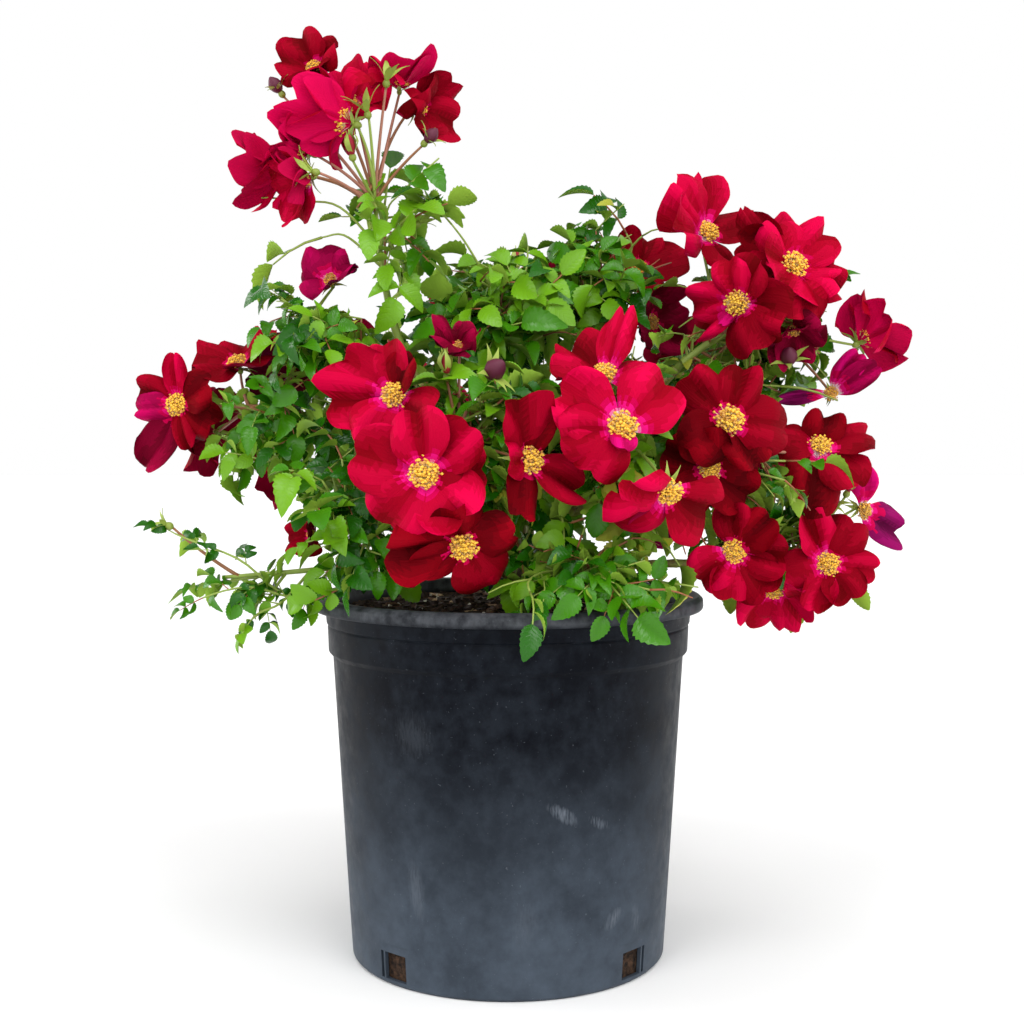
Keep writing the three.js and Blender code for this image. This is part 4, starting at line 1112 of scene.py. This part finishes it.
# ---------- leaflets ----------
def blade_template(teeth):
    """A leaflet's corners as (along, across, below) and its triangles. Its two skins share a rim."""
    steps = teeth * 2
    along = np.linspace(0, 1, steps + 1)
    rib = [(t, 0.0) for t in along[::2]]
    rim = []
    for i, t in enumerate(along[1:-1], start=1):
        tooth = i % 2
        rim.append((t + (0.02 if tooth else -0.012), 1.0 if tooth else 0.87))
    ribs = len(rib)
    flat = rib + rim + [(t, -s) for t, s in rim]
    right = [0, *range(ribs, ribs + len(rim)), ribs - 1]
    left = [0, *range(ribs + len(rim), ribs + 2 * len(rim)), ribs - 1]
    faces = []
    for j in range(ribs - 1):
        for edge, flip in ((right, False), (left, True)):
            a, b, c = edge[2 * j], edge[2 * j + 1], edge[2 * j + 2]
            for face in ((j, a, b), (j, b, j + 1), (j + 1, b, c)):
                if len(set(face)) == 3:
                    faces.append(face[::-1] if flip else face)
    faces = np.array(faces)
    corners = np.array([(t, s, 0.0) for t, s in flat] + [(t, s, 1.0) for t, s in flat])
    return corners, np.concatenate([faces, faces[:, ::-1] + len(flat)]), len(faces)


BLADE, BLADE_FACES, BLADE_TOP = blade_template(LEAFLET["teeth"])


def blades(root, heading, face, length, width, fold, droop, wave):
    """Leaflets in space, all at once: (copies, corners, 3)."""
    side = unit(np.cross(heading, face))
    normal = np.cross(side, heading)
    t, s, below = BLADE.T
    belly = np.sin(np.pi * np.clip(t, 0, 1) ** 0.86) ** 0.72
    across = s * belly * width[:, None] / 2
    lift = fold[:, None] * np.abs(across) + wave[:, None] * np.abs(s) * np.sin(7 * t + 9 * wave[:, None])
    ease = t * length[:, None]
    arch = droop[:, None] * t ** 2 * length[:, None]
    thick = LEAFLET["thick"] * below * (1 - np.abs(s)) * np.sin(np.pi * t)
    forward = ease * (1 - 0.3 * droop[:, None] ** 2 * t ** 2)
    return (root[:, None] + heading[:, None] * forward[..., None] + side[:, None] * across[..., None]
            + normal[:, None] * (lift - arch - thick)[..., None])


def leaf_materials():
    """The greens by age, from a deep summer green to this spring's yellow one, then the pale underside."""
    return [
        leaf_skin("waxy_leaf_deep", "#1f5c06", 0.22, 0.3),
        leaf_skin("waxy_leaf_mid", "#3c7c08", 0.24, 0.3),
        leaf_skin("waxy_leaf_bright", "#6aa014", 0.3, 0.3),
        leaf_skin("waxy_leaf_young", "#a2a832", 0.4, 0.3),
        leaf_skin("matt_leaf_underside", "#8fb43c", 0.6, 0.15),
    ]


def make_leaves(bush, grown):
    """Compound leaves with toothed leaflets, and the leafstalks that carry them."""
    materials = leaf_materials()
    underside = len(materials) - 1
    leaf_pile = Pile("leaflets", *materials)
    # Soft green stalks, reddened where the sun reaches them.
    stalk_pile = Pile(
        "leafstalks",
        finish("green_leafstalk", "#93a848", 0.5)[0],
        finish("red_leafstalk", "#a0603c", 0.5)[0],
    )
    deep, mid, bright = GREENS_UP_TO
    for mass in bush.masses:
        _, leaves = grown[mass.name]
        if not leaves:
            continue
        count = len(leaves)
        number = np.arange(count)
        root, heading, face = (np.array([leaf[i] for leaf in leaves]) for i in range(3))
        spray = np.array([leaf[3] for leaf in leaves])
        size = np.array([leaf[4] for leaf in leaves])
        rise = between((-0.3, 0.4), chance(mass.seed, number, 35))
        heading = unit(heading + np.array([0, 0, 1.0]) * rise[:, None])
        face = turned(face, heading, between((-0.9, 0.9), chance(mass.seed, number, 36)))
        side = unit(np.cross(heading, face))
        normal = np.cross(side, heading)
        scale = mass.scale * size * between((0.78, 1.14), chance(mass.seed, number, 31))
        length = RACHIS["length"] * scale
        droop = between((0.02, 0.45), chance(mass.seed, number, 32))
        shares = np.linspace(0, 1, 4)
        line = (root[:, None] + heading[:, None] * (length[:, None] * shares)[..., None]
                - normal[:, None] * (length[:, None] * droop[:, None] * shares ** 2)[..., None])
        red = (chance(mass.seed, spray, 33) > 0.62).astype(int)
        radii = between((RACHIS["base"], RACHIS["tip"]), shares)[None] * scale[:, None]
        add_tubes(stalk_pile, line, radii, 4, red[:, None])
        # The greens are dealt out by spray: all the leaves of one twig are of one age.
        pick = chance(mass.seed, spray, 34)
        pick = np.where(pick < bright, np.minimum(pick + YOUNG.get(mass.name, 0.0), bright - 0.01), pick)
        green = np.select([pick < deep, pick < mid, pick < bright], [0, 1, 2], 3)
        tip_way = unit(heading - normal * 2 * droop[:, None])
        sets = [(line[:, -1], tip_way, LEAFLET["end_scale"], 40)]
        for n, (at, turn, share) in enumerate(PAIRS):
            place = root + heading * (length * at)[:, None] - normal * (length * droop * at ** 2)[:, None]
            for hand in (1, -1):
                way = turned(heading, normal, np.full(count, math.radians(turn) * hand))
                sets.append((place, way, share, 50 + 10 * n + hand))
        for place, way, share, use in sets:
            def draw(low, high, extra):
                return between((low, high), chance(mass.seed, number, use * 9 + extra))

            twist = turned(face, way, draw(-0.75, 0.75, 1))
            bent = unit(way - np.array([0, 0, 1.0]) * draw(-0.25, 0.4, 2)[:, None])
            blade_length = LEAFLET["length"] * scale * share * draw(0.78, 1.14, 3)
            blade_width = blade_length * LEAFLET["width"] / LEAFLET["length"] * draw(0.92, 1.14, 4)
            points = blades(place, bent, unit(twist), blade_length, blade_width,
                            draw(0.15, 0.95, 5), draw(0.0, 0.85, 6), draw(0.1, 0.7, 7))
            slots = np.full((count, len(BLADE_FACES)), underside)
            slots[:, :BLADE_TOP] = green[:, None]
            middle, point = points[:, LEAFLET["teeth"] // 2], points[:, LEAFLET["teeth"]]
            clear = ~bush.hides_bloom(middle) & ~bush.hides_bloom(point)
            leaf_pile.add(points[clear], BLADE_FACES, slots[clear], BLADE[:, :2])
    names = [mass.name for mass in bush.masses]
    for piece in split(leaf_pile):
        dress(piece, "leaves", *names)
    dress(stalk_pile.made(), "leaves", *names)


def split(pile):
    """A pile's mesh in as few pieces as keep each under the most triangles."""
    groups, count = [[]], 0
    for i, triangles in enumerate(pile.triangles):
        if count + len(triangles) > MOST_TRIANGLES:
            groups.append([])
            count = 0
        groups[-1].append(i)
        count += len(triangles)
    first = np.cumsum([0] + [len(p) for p in pile.points])
    made = []
    for number, group in enumerate(groups, start=1):
        part = Pile(f"{pile.name}_{number}", *pile.materials)
        part.points = [pile.points[i] for i in group]
        part.grain = [pile.grain[i] for i in group]
        part.slots = [pile.slots[i] for i in group]
        part.triangles = [pile.triangles[i] - first[group[0]] for i in group]
        made.append(part.made())
    return made


# ---------- stems, twigs and stalks ----------
def make_twigs(bush, grown):
    """The stems, shoots, twigs and flower stalks: smooth green skin, reddened on the sunny side."""
    pile = Pile(
        "twigs",
        finish("green_twig", "#8ea444", 0.5)[0],
        finish("red_twig", "#93603c", 0.5)[0],
        finish("rosy_stalk", "#a9705a", 0.5)[0],
    )
    for mass in bush.masses:
        shares = np.linspace(0, 1, 14)
        add_tubes(pile, mass.stem.at(shares)[None], between((mass.radius, 1.1), shares)[None], 8)
        for shoot in mass.shoots:
            radii = between((SHOOT["base"], SHOOT["tip"]), shares)[None]
            add_tubes(pile, shoot.route.at(shares)[None], radii, 6)
        twigs, _ = grown[mass.name]
        if not twigs:
            continue
        start, end = (np.array([twig[i] for twig in twigs]) for i in (0, 1))
        number = np.arange(len(twigs))
        length = np.linalg.norm(end - start, axis=1)
        shares = np.linspace(0, 1, 6)
        line = start[:, None] + (end - start)[:, None] * shares[:, None]
        aside = unit(np.cross(end - start, [0.3, 0.2, 1.0]))
        sway = aside * (length * between((-0.06, 0.06), chance(mass.seed, number, 71)))[:, None]
        line = line + sway[:, None] * np.sin(np.pi * shares)[None, :, None]
        red = (chance(mass.seed, number, 72) > 0.6).astype(int)
        add_tubes(pile, line, between((TWIG["base"], TWIG["tip"]), shares)[None], 5, red[:, None])
    for i, flower in enumerate(bush.blooms + bush.buds):
        shares = np.linspace(0, 1, 12)
        # Half of the flower stalks are rosy, a quarter red and a quarter green.
        slot = [2, 1, 2, 0][int(chance(81, i, 1) * 4)]
        radii = between((STALK["base"], STALK["tip"]), shares)[None]
        add_tubes(pile, flower["stalk"].at(shares)[None], radii, 6, slot)
    return dress(pile.made(), "twigs")


# ---------- blooms ----------
def mixed(light, dark, share):
    """The colour that lies this share of the way from one hex colour to another."""
    pairs = [(int(light[i:i + 2], 16), int(dark[i:i + 2], 16)) for i in (1, 3, 5)]
    return "#" + "".join(f"{round(a + (b - a) * share):02x}" for a, b in pairs)


def petal_materials():
    """The eye from white to rose, then for each tone its painted shade in steps, lit on the ridges and
    darkest in the hollows, and its back.
    """
    names = ["eye_white", "eye_pale", "eye_hot", "eye_rose"]
    made = [petal_skin("petal_" + name, colour) for name, colour in zip(names, EYE)]
    for tone, (light, dark, back) in TONES.items():
        for step in range(PAINTED_SHADE_STEPS):
            made.append(petal_skin(f"petal_{tone}_shade_{step + 1}", mixed(light, dark, step / (PAINTED_SHADE_STEPS - 1))))
        made.append(petal_skin(f"petal_{tone}_back", back))
    return made


def grid_faces(rows, columns):
    """The triangles of a grid, and the row that each one lies in."""
    i, j = [a.ravel() for a in np.meshgrid(np.arange(rows), np.arange(columns), indexing="ij")]
    a = i * (columns + 1) + j
    b, c, d = a + 1, a + columns + 2, a + columns + 1
    return np.concatenate([np.stack([a, b, c], 1), np.stack([a, c, d], 1)]), np.concatenate([i, i])


def petal_shape(u, v, reach, breadth, rise, wild, draw):
    """One petal, from its claw out along y: heart-shaped, creased down its middle, its rim rolled
    and ruffled. Also gives how far each place lies above its even sweep, which sets the painted light and
    shade of its tones."""
    half = breadth / 2 * (0.14 + 0.86 * np.sin(np.pi / 2 * np.minimum(u / 0.86, 1)) ** 1.1)
    round_end = 0.62 + 0.38 * (1 - np.abs(v) ** 2.5) ** 0.55
    s = u * (round_end - draw(0.05, 0.12, 5) * np.exp(-(v / 0.2) ** 2))
    bend = draw(0.15, 0.7, 4) * wild
    start = rise + bend
    y = reach * (np.sin(start) - np.sin(start - 2 * bend * s)) / (2 * bend)
    z = reach * (np.cos(start - 2 * bend * s) - np.cos(start)) / (2 * bend)
    crease = -draw(0.03, 0.11, 14) * np.exp(-(v / 0.22) ** 2) * np.sin(np.pi * np.minimum(u * 0.75, 1))
    lobes = draw(0.0, 0.1, 15) * np.sin(np.pi * np.abs(v)) * u
    side_roll = -draw(-0.12, 0.24, 16) * np.abs(v) ** 3 * u
    end_roll = -draw(-0.2, 0.3, 17) * u ** 4
    twist = draw(-0.2, 0.2, 18) * v * u ** 1.5
    long_wave = draw(0.06, 0.14, 6) * wild * u ** 1.5 * np.sin(1.3 * np.pi * v + draw(0, 6.28, 7) + u)
    ruffle = draw(0.015, 0.04, 8) * wild * u ** 3 * np.sin(2.7 * np.pi * v + draw(0, 6.28, 9) + 2 * u)
    buckle = draw(0.015, 0.04, 19) * wild * u * np.sin(8 * u + 2.2 * v + draw(0, 6.28, 20))
    lift = reach * (crease + lobes + side_roll + end_roll + twist + long_wave + ruffle + buckle)
    x = half * v * (1 - 0.6 * np.abs(side_roll)) + reach * draw(-0.1, 0.1, 21) * u ** 2
    turn = math.radians(PETAL["pinwheel"] + draw(-8, 8, 11))
    relief = crease + lobes + long_wave + ruffle + buckle
    return x * math.cos(turn), 1.2 + y, z + lift + x * math.sin(turn) * (0.25 + 0.75 * u), relief


def even_petals(i, bloom):
    """Five petals round a bloom, or four where one has fallen."""
    rows = []
    for p in range(PETAL["count"] - (bloom["age"] == "spent")):
        def draw(low, high, use):
            return between((low, high), chance(90 + i, p, use))

        reach = bloom["radius"] * draw(0.98, 1.12, 1)
        breadth = reach * draw(*PETAL["breadth"], 2) * (1 + PETAL["cupped"] * bloom["rise"])
        clock = math.degrees(bloom["roll"]) + 360 * p / PETAL["count"] + draw(-8, 8, 12)
        rise = math.degrees(bloom["rise"]) + draw(-11, 11, 3) * WILD.get(bloom["age"], CRUMPLED)
        rows.append((clock, reach, breadth, rise, bloom["age"]))
    return rows


def make_blooms(bush):
    """Every bloom's petals, each with a skin of tones above and one of its back below."""
    rows, columns = len(PETAL_ROWS) - 1, PETAL["columns"]
    crosswise = np.sin(np.linspace(-1, 1, columns + 1) * np.pi / 2)
    grid = np.meshgrid(PETAL_ROWS, crosswise, indexing="ij")
    u, v = [a.ravel() for a in grid]
    top, row = grid_faces(rows, columns)
    faces = np.concatenate([top, top[:, ::-1] + len(u)])
    under = np.arange(len(faces)) >= len(top)
    row = np.tile(row, 2)
    rim = (u == 0) | (u == 1) | (np.abs(v) > 0.999)
    pile = Pile("petals", *petal_materials())
    column = np.tile(np.arange(columns), 4 * rows)
    grain = np.concatenate([np.stack([u, v], 1)] * 2)
    for i, bloom in enumerate(bush.blooms):
        facing = bloom["facing"]
        right = unit(np.cross([0.0, 0, 1], facing))
        up = np.cross(facing, right)
        for p, (clock, reach, breadth, rise, tone) in enumerate(PETALS.get(i) or even_petals(i, bloom)):
            def draw(low, high, use):
                return between((low, high), chance(90 + i, p, use))

            wild = WILD.get(tone, CRUMPLED)
            x, y, z, relief = petal_shape(u, v, reach, breadth, math.radians(rise), wild, draw)
            turn = math.radians(clock)
            ahead = up * math.cos(turn) + right * math.sin(turn)
            aside = right * math.cos(turn) - up * math.sin(turn)
            upper = bloom["centre"] + x[:, None] * aside + y[:, None] * ahead + z[:, None] * facing
            below = np.where(rim, 0, PETAL["thick"])[:, None] * facing
            # The tones paint light onto the ridges of the folds and shade into their hollows. The eye runs
            # out along the veins, further on some than on others.
            depth = 0.5 - relief[top].mean(axis=1) / PETAL["fold"]
            first = len(EYE) + (PAINTED_SHADE_STEPS + 1) * list(TONES).index(tone)
            shade = np.clip(np.round(depth * (PAINTED_SHADE_STEPS - 1)), 0, PAINTED_SHADE_STEPS - 1).astype(int)
            slots = first + np.concatenate([shade, np.full(len(top), PAINTED_SHADE_STEPS)])
            fray = 1.7 * (chance(70 + i, column + 40 * p, 3) - 0.5)
            for slot in reversed(range(len(EYE))):
                slots[~under & (row + fray < EYE_ROWS[tone][slot])] = slot
            pile.add(np.concatenate([upper, upper - below])[None], faces, slots[None], grain)
    for piece in split(pile):
        dress(piece, "petals")


def make_stamens(bush):
    """A brush of golden stamens round a green-yellow centre in every bloom."""
    pile = Pile(
        "stamens",
        finish("cream_filament", "#fbe7a6", 0.6)[0],
        finish("golden_anther", "#ffcf4a", 0.7)[0],
        finish("tan_anther", "#dca552", 0.8)[0],
    )
    octahedron = np.array([(1, 0, 0), (-1, 0, 0), (0, 1, 0), (0, -1, 0), (0, 0, 1), (0, 0, -1)], float)
    eight = np.array([(0, 2, 4), (2, 1, 4), (1, 3, 4), (3, 0, 4), (2, 0, 5), (1, 2, 5), (3, 1, 5), (0, 3, 5)])
    for i, bloom in enumerate(bush.blooms):
        number = np.arange(STAMENS)
        size = bloom["radius"] / 38  # the lengths below are those of a bloom of this radius
        across = unit(np.cross(bloom["facing"], [0.0, 0, 1]))
        third = np.cross(bloom["facing"], across)
        turn = number * GOLDEN_ANGLE
        tilt = 1.25 * np.sqrt(number / STAMENS) * between((0.75, 1.1), chance(130 + i, number, 1))
        way = (np.cos(turn)[:, None] * across + np.sin(turn)[:, None] * third) * np.sin(tilt)[:, None]
        way = way + np.cos(tilt)[:, None] * bloom["facing"]
        length = size * between((4.4, 9.2), chance(130 + i, number, 2) ** 0.7)
        base = bloom["centre"] + bloom["facing"] * 0.6 * size + way * 1.2 * size
        tip = base + way * length[:, None]
        shares = np.linspace(0, 1, 2)
        line = base[:, None] + (tip - base)[:, None] * shares[:, None]
        add_tubes(pile, line, np.full((1, 2), 0.24 * size), 3, 0)
        stretch = np.array([1.5, 1.0, 1.0]) * size
        anther = octahedron * stretch
        spin = chance(130 + i, number, 3) * 2 * np.pi
        upright = np.broadcast_to([0.0, 0, 1], (STAMENS, 6, 3))
        knobs = turned(np.broadcast_to(anther, upright.shape), upright, spin[:, None])
        old = bloom["age"] in ("spent", "dusk")
        slot = np.where(chance(130 + i, number, 4) < (0.75 if old else 0.2), 2, 1)
        pile.add(knobs + tip[:, None], eight, slot[:, None])
        styles = [(1.0, 0), (2.4, 1.5), (2.6, 3.2), (1.7, 4.6), (0.4, 5.4)]
        centre = [(r * size, h * size) for r, h in styles]
        pile.add(*revolve(centre, 8, bloom["facing"], bloom["centre"]), 0)
    return dress(pile.made(), "stamens")


def revolve(profile, sides, facing, place):
    """A small round body about a facing: profile gives (radius, height) from its foot to its tip."""
    across = unit(np.cross(facing, [0.31, 0.2, 0.93]))
    third = np.cross(facing, across)
    turn = np.arange(sides) * 2 * np.pi / sides
    circle = np.cos(turn)[:, None] * across + np.sin(turn)[:, None] * third
    rings = [place + facing * h + r * circle for r, h in profile]
    points = np.concatenate([*rings, [place + facing * profile[0][1]], [place + facing * profile[-1][1]]])
    return points[None], tube_faces(len(profile), sides)


def make_sepals(bush):
    """Hips, green pointed sepals and the buds that have not opened."""
    pile = Pile(
        "sepals_and_buds",
        finish("green_sepal", "#9db24a", 0.55)[0],
        finish("green_hip", "#86983a", 0.45)[0],
        finish("closed_petals_dark", "#5a1030", 0.6)[0],
        finish("closed_petals_red", "#a00a2c", 0.6)[0],
    )
    for i, bloom in enumerate(bush.blooms):
        size = bloom["radius"] / 36  # the lengths below are those of a bloom of this radius
        foot = bloom["centre"] - bloom["facing"] * 6.4 * size
        profile = [(0.8, 0), (2.0, 1.2), (2.5, 2.8), (2.2, 4.6), (1.5, 5.8)]
        pile.add(*revolve([(r * size, h * size) for r, h in profile], 8, bloom["facing"], foot), 1)
        behind = bloom["rise"] - between((0.55, 1.1), chance(60, i, 3))
        seat = bloom["centre"] - bloom["facing"] * 2.4 * size
        sepals(pile, seat, bloom["facing"], 15 * size, behind, 60 + i)
    for i, bud in enumerate(bush.buds):
        length, facing = bud["length"], bud["facing"]
        foot = bud["place"] - facing * STALK["seat"]
        hip = [(0.9, 0), (2.0, 1.0), (2.4, 2.4), (1.9, 4.0), (1.4, 4.8)]
        pile.add(*revolve(hip, 8, facing, foot), 1)
        crown = foot + facing * 4.4
        wide = {"opening": 0.36, "green": 0.2, "hip": 0.12}[bud["kind"]] * length
        if bud["kind"] != "hip":
            body = [(0.5, 0), (0.8, 0.18), (1.0, 0.42), (0.82, 0.68), (0.45, 0.88), (0.12, 1.0)]
            colour = 2 if bud["kind"] == "opening" else 3
            pile.add(*revolve([(r * wide, h * length * 0.85) for r, h in body], 10, facing, crown), colour)
        lift = {"opening": 0.5, "green": 1.38, "hip": 0.7}[bud["kind"]]
        sepals(pile, crown, facing, length * 1.05, lift, 160 + i, wide)
    return dress(pile.made(), "sepals")


def sepals(pile, place, facing, length, lift, seed, round_body=0.0):
    """Five narrow pointed sepals, lifted from level by an angle and bowed round what they hold."""
    across = unit(np.cross(facing, [0.31, 0.2, 0.93]))
    third = np.cross(facing, across)
    t = np.linspace(0, 1, 6)
    wide = np.array([0.55, 0.9, 1.0, 0.66, 0.3, 0.04])
    sides = np.array([-1.0, 0.0, 1.0])
    top, _ = grid_faces(5, 2)
    for n in range(5):
        turn = 2 * np.pi * n / 5 + chance(seed, n, 1)
        out = across * math.cos(turn) + third * math.sin(turn)
        level = np.cross(out, facing)
        angle = lift + 0.35 * (chance(seed, n, 2) - 0.5)
        # Only the sepals that stand upright bow round a bud.
        bow = round_body * np.sin(np.pi * np.minimum(t * 1.3, 1)) * (lift > 1)
        arch = 0.12 * length * np.sin(np.pi * t)
        middle = (place + out * (t * length * math.cos(angle) + bow)[:, None]
                  + facing * (t * length * math.sin(angle) + arch)[:, None])
        spread = level[None, None] * (wide * length * 0.13)[:, None, None] * sides[None, :, None]
        dip = out[None, None] * (np.abs(sides)[None, :, None] * 0.3)
        points = (middle[:, None] + spread + dip * (wide[:, None, None])).reshape(-1, 3)
        normal = unit(np.cross(level, out * math.cos(angle) + facing * math.sin(angle)))
        under = points - normal * 0.4 * np.tile([0.0, 1.0, 0.0], 6)[:, None]
        pile.add(np.concatenate([points, under])[None], np.concatenate([top, top[:, ::-1] + len(points)]), 0)


# ---------- the studio ----------
def make_studio():
    """A white paper floor under an even white dome, with six wide soft lights."""
    bpy.ops.object.select_all(action="DESELECT")
    bpy.ops.mesh.primitive_plane_add(size=30, location=(0, 0, 0))
    floor = bpy.context.object
    floor.name = "studio_floor"
    # Matt paper: it takes soft shadows and shows no reflections.
    paper, _ = finish("white_paper", "#f8f8f8", 0.9, Specular_IOR_Level=0.0)
    floor.data.materials.append(paper)

    world = bpy.data.worlds.new("studio")
    bpy.context.scene.world = world
    world.use_nodes = True
    # The dome is white up to about 18 degrees above the horizon, and dims overhead.
    way = add_node(world, "ShaderNodeTexCoord", {}).outputs["Generated"]
    height = add_node(world, "ShaderNodeSeparateXYZ", {"Vector": way}).outputs["Z"]
    dome = add_node(world, "ShaderNodeMapRange", {
        "Value": height, "From Min": 0.31, "From Max": 0.6, "To Min": 1.0, "To Max": 0.3})
    background = world.node_tree.nodes["Background"]
    background.inputs["Color"].default_value = (1, 1, 1, 1)
    world.node_tree.links.new(dome.outputs["Result"], background.inputs["Strength"])

    lights = [  # (name, turn from the camera's side, height above level, softness in degrees, strength)
        ("key_light", -34, 50, 26, 0.8),
        ("fill_light", 36, 46, 30, 0.95),
        ("front_card", 4, 20, 40, 0.64),
        ("left_strip", -100, 12, 30, 1.15),
        ("right_strip", 95, 14, 40, 0.55),
        ("top_light", 10, 80, 60, 0.85),
    ]
    for name, turn, tilt, softness, strength in lights:
        light = bpy.data.lights.new(name, "SUN")
        light.angle, light.energy = math.radians(softness), strength
        lamp = bpy.data.objects.new(name, light)
        lamp.location = facing_way(turn, tilt) * 2
        lamp.rotation_euler = Vector(facing_way(turn, tilt)).to_track_quat("Z", "Y").to_euler()
        bpy.context.scene.collection.objects.link(lamp)

    camera = bpy.data.objects.new("camera", bpy.data.cameras.new("camera"))
    camera.data.lens = CAMERA["lens"]
    camera.location = [c * MM for c in CAMERA["place"]]
    camera.rotation_euler = (math.radians(CAMERA["tilt"]), 0, 0)
    bpy.context.scene.collection.objects.link(camera)
    bpy.context.scene.camera = camera
    bpy.context.scene.view_settings.view_transform = "Standard"


# ---------- all together ----------
make_studio()
make_pot()
make_crumbs(make_soil())
bush = Bush()
make_wood(bush.routes)
grown = {mass.name: bush.grow(mass) for mass in bush.masses}
make_leaves(bush, grown)
make_twigs(bush, grown)
make_blooms(bush)
make_stamens(bush)
make_sepals(bush)
